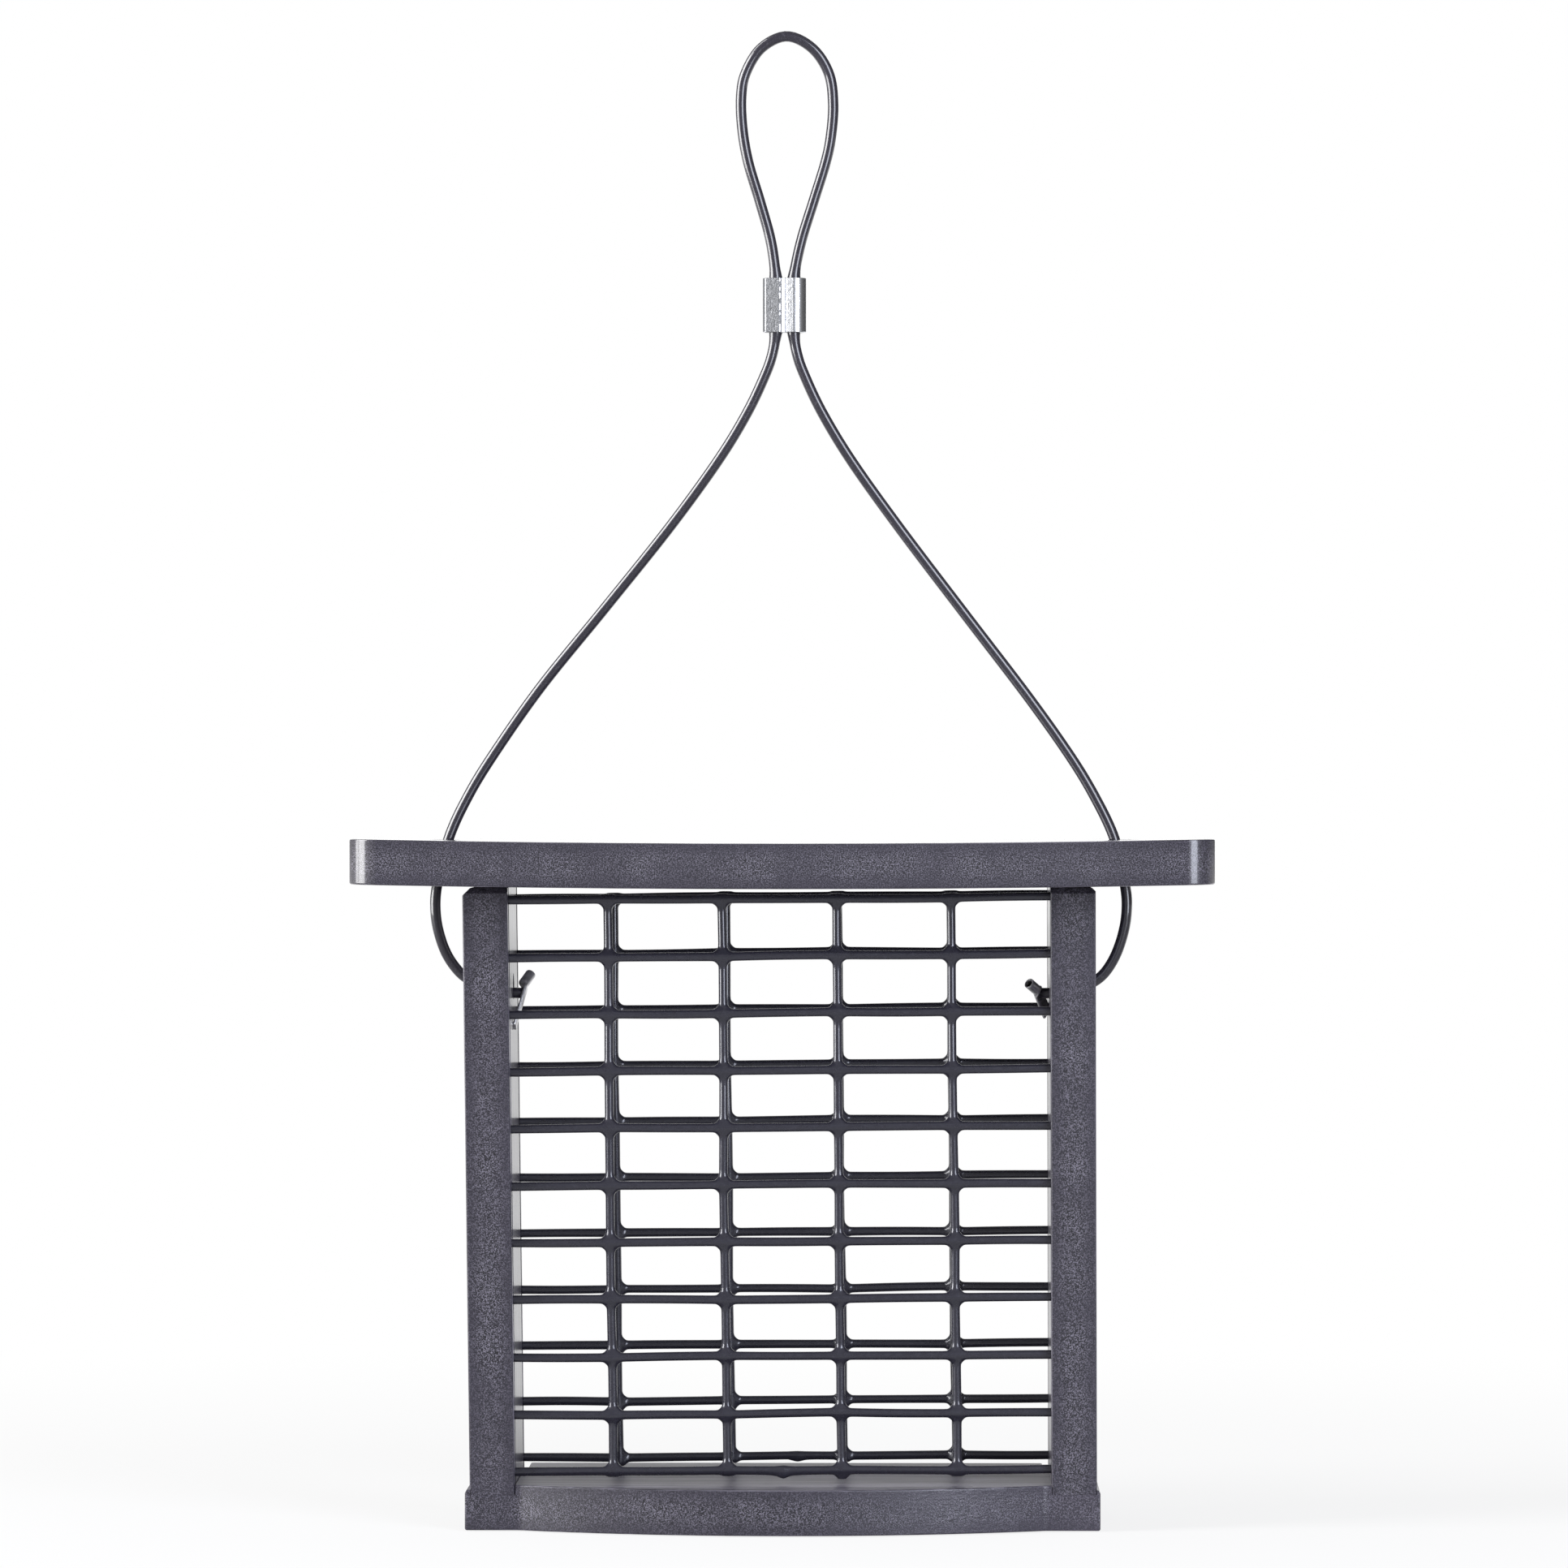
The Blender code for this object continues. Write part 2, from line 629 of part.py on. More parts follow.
def build_ferrule():
    """The double sleeve crimped round both runs of the cable: two barrels and a waist."""
    radius = FERRULE_BARREL_DIAMETER / 2
    top = FERRULE_BOTTOM + FERRULE_LENGTH
    half_spacing = CABLE_SPACING / 2
    waist = FERRULE_WAIST_SHARE * radius
    left = cylinder_bmesh(radius, (-half_spacing, 0, FERRULE_BOTTOM), (-half_spacing, 0, top), BARREL_STEPS)
    ferrule = add_bmesh("loop_ferrule", left, PARTS, bright_metal_material("loop_ferrule"))
    right = cylinder_bmesh(radius, (half_spacing, 0, FERRULE_BOTTOM), (half_spacing, 0, top), BARREL_STEPS)
    boolean(ferrule, add_cutter("right_barrel", right), "UNION")
    middle = box_bmesh((-half_spacing, -waist, FERRULE_BOTTOM), (half_spacing, waist, top))
    boolean(ferrule, add_cutter("ferrule_waist", middle), "UNION")
    for side in (-1, 1):
        x = side * half_spacing
        bore = cylinder_bmesh(CABLE_DIAMETER / 2 + CLEARANCE, (x, 0, FERRULE_BOTTOM - CUT_OVERRUN),
                              (x, 0, top + CUT_OVERRUN), BORE_STEPS)
        boolean(ferrule, add_cutter(side_name(side, "ferrule_bore"), bore))
    shade_smooth(ferrule)
    return ferrule


def pinched_ring(height, radius, flatness):
    """A ring of points between a circle (flatness 0) and a tube pressed flat (flatness 1)."""
    wide = radius + flatness * (STOP_FLAT_WIDTH / 2 - radius)
    thin = radius + flatness * (STOP_FLAT_THICKNESS / 2 - radius)
    power = 1 / (1 + flatness)
    ring = []
    for k in range(STOP_SIDES):
        angle = 2 * math.pi * k / STOP_SIDES
        across = math.copysign(abs(math.cos(angle)) ** power, math.cos(angle))
        along = math.copysign(abs(math.sin(angle)) ** power, math.sin(angle))
        ring.append((across * thin, along * wide, height))
    return ring


def stop_rings():
    """The stop from its flat foot up to its open end, over the rim and down its bore.
    Heights are counted from the point where the cable meets it."""
    radius = STOP_DIAMETER / 2
    top = STOP_CROSSING_SHARE * STOP_LENGTH
    round_foot = top - STOP_ROUND_LENGTH
    rings = [pinched_ring(top - STOP_LENGTH, radius, 1)]
    for k in range(PINCH_STEPS + 1):
        share = k / PINCH_STEPS
        flatness = (1 + math.cos(math.pi * share)) / 2
        rings.append(pinched_ring(round_foot - STOP_PINCH_LENGTH * (1 - share), radius, flatness))
    rings.append(pinched_ring(top, radius, 0))
    rings.append(pinched_ring(top, STOP_BORE / 2, 0))
    rings.append(pinched_ring(round_foot, STOP_BORE / 2, 0))
    return rings


def loft_bmesh(rings):
    """A closed solid through rings of as many points each, capped at both ends."""
    bm = bmesh.new()
    loops = [[bm.verts.new(point) for point in ring] for ring in rings]
    count = len(rings[0])
    for lower, upper in zip(loops, loops[1:]):
        for k in range(count):
            after = (k + 1) % count
            bm.faces.new((lower[k], lower[after], upper[after], upper[k]))
    bm.faces.new(reversed(loops[0]))
    bm.faces.new(loops[-1])
    return bm


def build_stop(side, turn):
    """A bit of tube pinched flat across the cable's end, so that it can't pull back out."""
    name = "cable_stop_" + ("left" if side < 0 else "right")
    bm = loft_bmesh(stop_rings())
    place = Vector((side * (BAY_HALF - STOP_STAND_OFF), 0, STOP_HEIGHT))
    lean = Matrix.Rotation(-side * STOP_LEAN, 4, "Y")
    pose = Matrix.Translation(place) @ Matrix.Rotation(turn, 4, "X") @ lean
    bmesh.ops.transform(bm, verts=bm.verts, matrix=pose)
    stop = add_bmesh(name, bm, PARTS, steel_material(name))
    through = Vector((STOP_DIAMETER, 0, 0))
    hole = cylinder_bmesh(CORE_DIAMETER / 2 + CLEARANCE, place - through, place + through, TURNED_STEPS)
    boolean(stop, add_cutter(side_name(side, "core_hole_cutter"), hole))
    shade_smooth(stop)
    return stop


def build_core(side):
    """The bare steel strand from the end of the sheath through the stop, peened over."""
    name = "cable_core_" + ("left" if side < 0 else "right")
    radius = CORE_DIAMETER / 2
    head = PEENED_HEAD_DIAMETER / 2
    root = SHEATH_END_STAND_OFF + CLEARANCE
    lean_room = STOP_FLAT_THICKNESS / 2 / math.cos(STOP_LEAN) + head * math.tan(STOP_LEAN)
    seat = STOP_STAND_OFF + lean_room + CLEARANCE
    profile = [(0, seat + PEENED_HEAD_LENGTH), (head / 2, seat + PEENED_HEAD_LENGTH),
               (head, seat + PEENED_HEAD_LENGTH / 2), (head, seat), (radius, seat), (radius, root), (0, root)]
    core = turned(name, profile, PARTS, steel_material(name))
    core.rotation_euler = (0, -side * math.pi / 2, 0)
    core.location = (side * BAY_HALF, 0, STOP_HEIGHT)
    return core


# The screws

def screw_profile(grow, bottom):
    """A flat-head screw, point up, from its tip down, with each face grown by a gap. Its
    head runs on straight to the bottom height."""
    shank = SCREW_SHANK_DIAMETER / 2 + grow
    head = SCREW_HEAD_DIAMETER / 2 + grow
    tip = SCREW_BOTTOM + SCREW_LENGTH + grow
    rim = SCREW_BOTTOM + SCREW_RIM_LENGTH + grow
    return [(0, tip), (shank, tip - SCREW_POINT_LENGTH), (shank, rim + SCREW_CONE_LENGTH),
            (head, rim), (head, bottom), (0, bottom)]


def build_screws(base, posts):
    """Two screws through the base into each post, with their own clearance holes."""
    for side, post in zip((-1, 1), posts):
        for face in (-1, 1):
            name = "base_screw_" + ("front_" if face < 0 else "back_") + ("left" if side < 0 else "right")
            place = (side * POST_CENTRE, face * SCREW_SPACING / 2, 0)
            screw = turned(name, screw_profile(0, SCREW_BOTTOM), PARTS, steel_material(name))
            screw.location = place
            hole_profile = screw_profile(CLEARANCE, -CUT_OVERRUN)
            hole = hide_guide(turned(name + "_hole_cutter", hole_profile, CUTTERS))
            hole.location = place
            boolean(base, hole)
            boolean(post, hole)


clear_scene()
PARTS = new_collection(OBJECT_NAME)
CUTTERS = new_collection("cutters")

base_board = build_base()
build_roof()
post_pair = [build_post(-1, LEFT_OUTER_CHAMFER), build_post(1, RIGHT_OUTER_CHAMFER)]
build_screws(base_board, post_pair)
build_panels()
build_cable("cable_loop", LOOP_ROUTE, LOOP_POINTS)
build_cable("cable_leg_left", LEFT_LEG_ROUTE, LEG_POINTS)
build_cable("cable_leg_right", RIGHT_LEG_ROUTE, LEG_POINTS)
build_cable("cable_tail_left", LEFT_TAIL_ROUTE, TAIL_POINTS)
build_cable("cable_tail_right", RIGHT_TAIL_ROUTE, TAIL_POINTS)
build_ferrule()
build_stop(-1, LEFT_STOP_TURN)
build_stop(1, RIGHT_STOP_TURN)
build_core(-1)
build_core(1)
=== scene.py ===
"""A hanging suet feeder, dressed around its construction model: boards of recycled plastic
lumber, coated welded mesh, a coated cable in a crimped sleeve, and its pinched stops."""

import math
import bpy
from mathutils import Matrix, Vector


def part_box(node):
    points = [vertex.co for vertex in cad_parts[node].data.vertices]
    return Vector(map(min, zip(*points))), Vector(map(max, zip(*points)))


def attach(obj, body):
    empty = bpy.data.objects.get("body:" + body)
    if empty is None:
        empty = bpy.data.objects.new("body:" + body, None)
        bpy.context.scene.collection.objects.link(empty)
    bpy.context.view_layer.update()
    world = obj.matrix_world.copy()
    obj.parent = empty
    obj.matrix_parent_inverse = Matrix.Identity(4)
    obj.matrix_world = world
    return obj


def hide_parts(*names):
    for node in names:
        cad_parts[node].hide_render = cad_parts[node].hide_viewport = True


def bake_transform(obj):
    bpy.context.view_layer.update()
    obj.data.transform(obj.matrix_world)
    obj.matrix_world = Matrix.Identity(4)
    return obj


bl_info = {
    "name": "Suet feeder",
    "version": (1, 0, 0),
    "blender": (4, 5, 0),
    "location": "View3D > Sidebar > Suet feeder",
    "description": "Dresses a hanging suet feeder in its boards, mesh, cable and metal fittings",
    "category": "Add Mesh",
}

from collections import namedtuple

import bmesh
import bpy
from bpy.props import FloatProperty, FloatVectorProperty, PointerProperty
from mathutils import Matrix, Vector, noise

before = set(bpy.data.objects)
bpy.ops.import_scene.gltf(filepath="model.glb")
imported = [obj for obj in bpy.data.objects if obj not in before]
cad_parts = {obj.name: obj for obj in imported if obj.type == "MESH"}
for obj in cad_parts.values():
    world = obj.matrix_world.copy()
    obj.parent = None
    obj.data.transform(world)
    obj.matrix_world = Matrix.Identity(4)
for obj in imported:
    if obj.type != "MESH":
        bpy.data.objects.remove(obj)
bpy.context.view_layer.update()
MERGE_DISTANCE = 0.000001
WHITE = (1.0, 1.0, 1.0, 1.0)

# The angle past which an edge stays sharp, and the one under which faces count as one flat
SHARP_ANGLE = math.radians(40)
BOARD_SHARP_ANGLE = math.radians(32)
SLEEVE_SHARP_ANGLE = math.radians(35)
RIM_ANGLE = math.radians(60)
FLAT_ANGLE = math.radians(0.2)

# The photograph's frame, and where its camera stood
PHOTO_WIDTH = 1932
FOCAL_LENGTH_PIXELS = 10320
SENSOR_WIDTH_MM = 36
CAMERA_DISTANCE = 1.8747
CAMERA_SIDE = 0.027
CAMERA_HEIGHT = 0.165

# How far apart the wires of the welded mesh are, and how far its knuckles reach
PITCH_ACROSS = 0.0254
PITCH_UP = 0.01266
LAYER_STEP = 0.0009
KNUCKLE_REACH = 0.0019
HOLD = 0.0006
STUB_BELOW = 0.0021
STUB_ABOVE = 0.0012
WIRE_SIDES = 8
CAGE_SWELL = 1 / 0.902
GROOVE_SPARE = 0.0005
DRIP_WIDTH = 0.0022
DRIP_RINGS = (-1, -0.5, 0, 0.5, 1)

# How far apart the bends of a wire are, and how little it strays in depth. Vector noise is
# seeded by the clock unless it is given a seed, and each run has to give the same panels.
WANDER_SEED = 1
BEND_SPACING = 0.022
LEVEL_BEND_RISE = 0.011
UPRIGHT_BEND_RISE = 0.030
UPRIGHT_SEED = 10
STRAY_IN_DEPTH = 0.4

# The panels. A drip is its place along the lowest wire, its depth and its swell.
Panel = namedtuple("Panel", "name node stub_lengths drips seed turned")
PANELS = (
    Panel("front_panel", "front_mesh", (0.0017, 0.0014, 0.0014, 0.0021, 0.0015, 0.0016),
          ((-0.0003, 0.0006, 0.22),), 1.7, False),
    Panel("back_panel", "back_mesh", (0.0016, 0.0018, 0.0015, 0.0015, 0.0019, 0.0014),
          ((-0.0023, 0.0005, 0.10),), 4.1, True),
)

# The cable's route as it hangs, in metres: across and up, in the plane y = 0
LOOP_ROUTE = [
    (-0.0018, 0.2690), (-0.0018, 0.2740), (-0.0019, 0.2790), (-0.0030, 0.2867),
    (-0.0054, 0.2954), (-0.0080, 0.3041), (-0.0093, 0.3115), (-0.0096, 0.3187),
    (-0.0086, 0.3241), (-0.0051, 0.3297), (0.0006, 0.33235), (0.0063, 0.3297),
    (0.0100, 0.3241), (0.0110, 0.3173), (0.0105, 0.3100), (0.0093, 0.3041),
    (0.0066, 0.2954), (0.0039, 0.2867), (0.0023, 0.2790), (0.0022, 0.2740),
    (0.0022, 0.2690),
]
LEFT_LEG_ROUTE = [
    (-0.0018, 0.2687), (-0.0019, 0.2655), (-0.0026, 0.2613), (-0.0041, 0.2569),
    (-0.0082, 0.2482), (-0.0147, 0.2375), (-0.0256, 0.2225), (-0.0401, 0.2044),
    (-0.0547, 0.1864), (-0.0662, 0.1699), (-0.0717, 0.1605), (-0.0749, 0.1534),
    (-0.0763, 0.1479),
]
LEFT_TAIL_ROUTE = [
    (-0.0764, 0.1476), (-0.0776, 0.1430), (-0.0781, 0.1382), (-0.0776, 0.1330),
    (-0.0758, 0.1274), (-0.0730, 0.1232), (-0.0700, 0.1209), (-0.0665, 0.1196),
    (-0.0632, 0.1187), (-0.0610, 0.1183), (-0.0590, 0.1182),
]
RIGHT_LEG_ROUTE = [
    (0.0022, 0.2687), (0.0022, 0.2655), (0.0029, 0.2613), (0.0044, 0.2569),
    (0.0085, 0.2482), (0.0153, 0.2370), (0.0262, 0.2218), (0.0407, 0.2027),
    (0.0552, 0.1837), (0.0649, 0.1699), (0.0704, 0.1605), (0.0737, 0.1534),
    (0.0751, 0.1479),
]
RIGHT_TAIL_ROUTE = [
    (0.0752, 0.1476), (0.0762, 0.1430), (0.0767, 0.1382), (0.0762, 0.1330),
    (0.0745, 0.1274), (0.0721, 0.1232), (0.0694, 0.1208), (0.0661, 0.1195),
    (0.0630, 0.1187), (0.0604, 0.1183), (0.0578, 0.1182),
]

# The crimped sleeve: its two barrels, and the flats that the jaws pressed into its front.
# A flat is its side, the bearing that it faces in degrees, and how far out it lies. Its
# scuffs fade in and out across it between two pairs of places.
BARREL_CENTRES = {-1: -0.0021, 1: 0.0023}
VALLEY_SHARE = 0.74
JAW_FLATS = ((-1, -12.0, 0.00254), (1, -20.0, 0.00174))
FLAT_EDGES = (((-0.00425, -0.0041), (-0.0009, -0.00105)), ((0.00015, 0.0003), (0.0027, 0.0020)))
DENT_DEPTH = 0.00003
DENT_SIZE = 0.0003
DENT_FADE = 5
DENT_STRETCH = 0.5
SLEEVE_SIDES = 160
SLEEVE_CUTS = 64
SLEEVE_BEVEL = 0.00016

# A stop is a bit of tube, pinched flat from just above the cable down to its foot. Its round
# end is bent away from the post. Leans, turns and twists are in degrees, and the shift is
# how far the round end lies off the flat's middle, towards the post.
STOP_PINCH_LENGTH = 0.0011
STOP_RADIUS = 0.00118
STOP_FLAT_THICKNESS = 0.0008
STOP_FLAT_WIDTH = 0.0033
STOP_WALL = 0.00036
STOP_BEYOND_SHEATH = 0.0008
STRAND_INSIDE_STOP = 0.0002
STRAND_BEVEL = 0.00012
STOP_SIDES = 40
STOP_CUTS = 70
BORE_SHARE = 0.9
# Marks how deep a point lies inside a stop's open end, for the painted shade there
BORE_SHADE_LAYER = "bore_shade"
RIM_BEVEL = 0.0001
StopPose = namedtuple("StopPose", "lean turn twist bend_lean bend_turn bend_height round_length below shift")
STOP_POSES = {
    "left": StopPose(14, -23, 0, 11, -26, 0.0012, 0.0037, 0.0084, 0.0010),
    "right": StopPose(15, 48, -22, 20, 4, 0.0003, 0.0030, 0.0070, 0.0002),
}

# A screw's cross recess
RECESS_REACH = 0.0019
RECESS_WIDTH = 0.0007
RECESS_DEPTH = 0.0011
RECESS_TAPER = 0.45

ROUTE_DETAIL = 24
LOOP_POINTS = 140
LEG_POINTS = 120
TAIL_POINTS = 60
CABLE_ROUNDNESS = 6
SHEATH_SPREAD = 0.0008
SHEATH_FLARE = 0.35
SPREAD_POINTS = 6
CRIMP_SWELL = 0.28
CRIMP_SWELL_LENGTH = 0.0032

# The boards. Each has a thick axis and a long one, and shows how glossy its skins are, where
# its routed corners and its planed face start, how far it is bowed, its lean to the left,
# and its foot's shift.
Board = namedtuple("Board", "name node body thick long gloss routed planed bow lean shift")
BOARDS = (
    Board("roof_board", "roof", "roof", 2, 0, 1.0, 0.0889, 0.06, 0.001, 0, 0),
    Board("base_board", "base", "frame", 2, 0, 0.0, 1.0, 0.0, 0, 0, 0),
    Board("left_post_board", "left_post", "frame", 0, 2, 0.5, 1.0, 1.0, 0, math.radians(0.72), 0.00044),
    Board("right_post_board", "right_post", "frame", 0, 2, 0.5, 1.0, 1.0, 0, math.radians(0.12), 0),
)
ROUTED_FADE = 0.0006
PLANED_FADE = 0.05
CHANNEL_DEPTH = 0.002
SEAM = 0.00002

# The middle of the base's back corners and how far they reach, and the walls of its channels:
# the side, where the wall stands, and where it meets the post
BACK_CORNER = (0.0489, 0.0286)
BACK_REACH = 0.0096
DADO_WALLS = ((-1, 0.0698, 0.06908), (-1, 0.0592, 0.05904), (1, 0.0592, 0.05948), (1, 0.0698, 0.06952))

# How fine streaks and saw marks are across a board, and how fine along it
STREAK_SCALES = (950.0, 26.0)
SAW_SCALES = (1900.0, 14.0)

# How deep the reliefs of the finishes are
PIT_DEPTH = 0.00005
MARK_DEPTH = 0.00003
PEEL_DEPTH = 0.00001
LUMP_DEPTH = 0.00003
SCUFF_DEPTH = 0.00004
DRAG_DEPTH = 0.00001
GRAIN_DEPTH = 0.00002

# The stage. A lamp has a bearing from the camera's side in degrees, and may light no matte face.
FLOOR_RADIUS = 8.0
FLOOR_DROP = 0.0002
FLOOR_GREY = (0.75, 0.75, 0.75, 1.0)
ROOM_LEVEL = 0.45
LAMP_DISTANCE = 1.2
Lamp = namedtuple("Lamp", "name bearing height size radiance colour diffuse")
LAMPS = (
    Lamp("left_panel", -67, 0.55, (0.60, 1.1), 11, (1.0, 1.0, 1.0), True),
    Lamp("right_panel", 34, 0.54, (0.56, 1.0), 8, (0.84, 0.88, 1.0), True),
    Lamp("edge_panel", -89, 0.75, (0.36, 2.0), 8, (1.0, 1.0, 1.0), False),
)


class FeederSizes(bpy.types.PropertyGroup):
    """Sizes of the fine work that the construction model leaves plain."""

    wire_thickness: FloatProperty(
        name="Wire thickness", description="Thickness of a coated wire of the mesh",
        default=0.00195, min=0.001, max=0.003, unit="LENGTH")
    panel_lean: FloatProperty(
        name="Panel lean", description="How far each panel sits out of square in its grooves",
        default=math.radians(0.42), min=0, max=math.radians(0.6), subtype="ANGLE")
    panel_rack: FloatProperty(
        name="Panel rack", description="How far the upright wires lean beyond that, towards the left",
        default=math.radians(0.14), min=0, max=math.radians(0.4), subtype="ANGLE")
    wire_wander: FloatProperty(
        name="Wire wander", description="How far a wire strays from its straight line",
        default=0.00035, min=0, max=0.0005, unit="LENGTH")
    cable_thickness: FloatProperty(
        name="Cable thickness", description="Thickness of the cable over its sheath",
        default=0.0024, min=0.002, max=0.003, unit="LENGTH")
    foam_cell: FloatProperty(
        name="Foam cell", description="Size of the cells in the middle of a sawn board",
        default=0.00028, min=0.0001, max=0.002, unit="LENGTH")


class FeederColours(bpy.types.PropertyGroup):
    """Colours of the finishes."""

    board: FloatVectorProperty(
        name="Board", description="Slate grey of the recycled boards",
        default=(0.024, 0.021, 0.033), min=0, max=1, subtype="COLOR")
    fleck: FloatVectorProperty(
        name="Fleck", description="Pale flecks where a saw has opened the foam",
        default=(0.170, 0.158, 0.200), min=0, max=1, subtype="COLOR")
    coating: FloatVectorProperty(
        name="Coating", description="Near-black coating of the mesh",
        default=(0.0165, 0.0158, 0.0235), min=0, max=1, subtype="COLOR")
    sheath: FloatVectorProperty(
        name="Sheath", description="Black sheath of the cable",
        default=(0.018, 0.016, 0.025), min=0, max=1, subtype="COLOR")
    aluminium: FloatVectorProperty(
        name="Aluminium", description="Bright metal of the crimped sleeve",
        default=(0.60, 0.61, 0.64), min=0, max=1, subtype="COLOR")
    steel: FloatVectorProperty(
        name="Steel", description="Dull metal of the stops and screws",
        default=(0.42, 0.42, 0.43), min=0, max=1, subtype="COLOR")


# Materials

class Socket:
    """An output in a material's wiring. Arithmetic on it adds the Math nodes."""

    def __init__(self, finish, socket):
        self.finish = finish
        self.socket = socket

    def maths(self, operation, *values):
        inputs = dict(enumerate(values))
        return self.finish.add("ShaderNodeMath", {"operation": operation}, inputs)

    def __add__(self, other):
        return self.maths("ADD", self, other)

    def __sub__(self, other):
        return self.maths("SUBTRACT", self, other)

    def __rsub__(self, other):
        return self.maths("SUBTRACT", other, self)

    def __mul__(self, other):
        return self.maths("MULTIPLY", self, other)

    def __abs__(self):
        return self.maths("ABSOLUTE", self)

    def larger(self, other):
        return self.maths("MAXIMUM", self, other)

    def ramp(self, low, high, start=0, end=1):
        """A smooth step as the value goes from low to high, between start and end."""
        inputs = {"Value": self, "From Min": low, "From Max": high, "To Min": start, "To Max": end}
        return self.finish.add("ShaderNodeMapRange", {"interpolation_type": "SMOOTHSTEP"}, inputs)

    __radd__ = __add__
    __rmul__ = __mul__


class Finish:
    """A node tree being wired, and its Principled shader where it has one."""

    def __init__(self, owner):
        owner.use_nodes = True
        self.owner = owner
        self.tree = owner.node_tree

    def add(self, kind, settings=None, inputs=None, output=0):
        """Adds a node, sets it, gives its sockets values or links, and returns an output."""
        node = self.tree.nodes.new(kind)
        for name, value in (settings or {}).items():
            setattr(node, name, value)
        for name, value in (inputs or {}).items():
            self.join(value, node.inputs[name])
        return Socket(self, node.outputs[output])

    def join(self, value, socket):
        if isinstance(value, Socket):
            self.tree.links.new(value.socket, socket)
        else:
            socket.default_value = value

    def shade(self, values):
        """Gives the Principled shader's sockets values or links, by name."""
        shader = self.tree.nodes["Principled BSDF"]
        for name, value in values.items():
            self.join(value, shader.inputs[name])

    def place(self):
        return self.add("ShaderNodeTexCoord", output="Object")

    def axes(self, place):
        separate = self.add("ShaderNodeSeparateXYZ", inputs={"Vector": place})
        outputs = separate.socket.node.outputs
        return [Socket(self, outputs[axis]) for axis in "XYZ"]

    def stretched(self, place, scales):
        return self.add("ShaderNodeMapping", inputs={"Vector": place, "Scale": scales})

    def noise(self, place, scale, detail=2, roughness=0.5, distortion=0):
        inputs = {"Vector": place, "Scale": scale, "Detail": detail,
                  "Roughness": roughness, "Distortion": distortion}
        return self.add("ShaderNodeTexNoise", inputs=inputs)

    def blend(self, share, first, second):
        """A colour between two, by share."""
        settings = {"data_type": "RGBA", "clamp_factor": True}
        inputs = {"Factor": share, 6: first, 7: second}
        return self.add("ShaderNodeMix", settings, inputs, output=2)

    def bump(self, height, depth, normal=None):
        inputs = {"Height": height, "Distance": depth, "Strength": 1.0}
        if normal is not None:
            inputs["Normal"] = normal
        return self.add("ShaderNodeBump", inputs=inputs)


def new_finish(name):
    return Finish(bpy.data.materials.new(name))


def opaque(colour, level=1.0):
    """A colour property as a shader's four numbers, brightened or darkened by level."""
    return tuple(part * level for part in colour) + (1.0,)


def board_depth(finish, place, board):
    """How near a point is to the board's skins: none in its middle, one at a skin."""
    low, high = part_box(board.node)
    half = (high[board.thick] - low[board.thick] - board.bow) / 2
    along = finish.axes(place)
    across = along[board.thick] - (low[board.thick] + half)
    if board.bow:
        across = across - along[board.long] * along[board.long] * (board.bow / high[board.long] ** 2)
    if board.lean:
        across = across + along[board.long] * math.tan(board.lean) - board.shift
    return abs(across) * (1 / half)


def drawn_out(long, scales):
    """Noise scales that are fine across a board and coarse along it."""
    fine, coarse = scales
    return [coarse if axis == long else fine for axis in range(3)]


def board_finish(context, board):
    """Recycled plastic lumber. Its skins are smooth and streaked along the board. Where it
    is sawn, the foamed middle shows as a band of fine open cells. Routed corners shine."""
    colours = context.scene.feeder_colours
    cell = context.scene.feeder_sizes.foam_cell
    finish = new_finish(board.name + "_finish")
    place = finish.place()
    depth = board_depth(finish, place, board)
    core = depth.ramp(0.9, 0.2)
    skin = depth.ramp(0.955, 0.985)
    across = finish.axes(place)[0]
    planed = across.ramp(board.planed, board.planed + PLANED_FADE)
    shine = skin.larger(abs(across).ramp(board.routed, board.routed + ROUTED_FADE))
    cells = finish.noise(place, 1 / cell, detail=1, roughness=0.4)
    grain = finish.noise(place, 1.7 / cell, detail=0)
    patches = finish.noise(place, 110, detail=3).ramp(0.3, 0.7, 0.55, 1.0)
    speckle = (cells * 0.65 + grain * 0.35).ramp(0.40, 0.72)
    strength = (core * 0.6 + 0.4) * patches * (1 - skin)
    along_board = finish.stretched(place, drawn_out(board.long, STREAK_SCALES))
    streaks = finish.noise(along_board, 1.0, detail=5, roughness=0.65)
    saw = finish.noise(finish.stretched(place, drawn_out(board.long, SAW_SCALES)), 1.0, detail=2)
    cloud = finish.noise(place, 35, detail=3).ramp(0.3, 0.7)
    plain = finish.blend(cloud, opaque(colours.board, 0.88), opaque(colours.board, 1.1))
    pale = opaque(colours.fleck, 1.1)
    streaked = finish.blend(streaks.ramp(0.38, 0.66) * skin * 0.95, plain, pale)
    speckled = finish.blend(speckle, opaque(colours.board, 0.2), pale)
    # Painted sheen: the planed part of a sawn face is painted lighter, standing in for the right lamp's
    # reflection on the base's right half
    painted_sheen = planed * (1 - skin) * (0.22 * (1 - board.gloss))
    colour = finish.blend(painted_sheen, finish.blend(strength, streaked, speckled), opaque(colours.fleck, 0.7))
    pits = finish.bump(cells * strength, PIT_DEPTH)
    sawn = saw * (1 - skin) * (planed * 1.2 + 0.6)
    marks = finish.bump(streaks * skin * (1 - board.gloss) + sawn, MARK_DEPTH, pits)
    roughness = 0.45 - skin * (0.04 + 0.1 * board.gloss) - planed * (1 - skin) * 0.19
    finish.shade({"Base Color": colour, "Roughness": roughness, "IOR": 1.5,
                  "Specular IOR Level": 0.5, "Coat Weight": shine * board.gloss, "Coat Roughness": 0.14,
                  "Normal": marks})
    return finish.owner


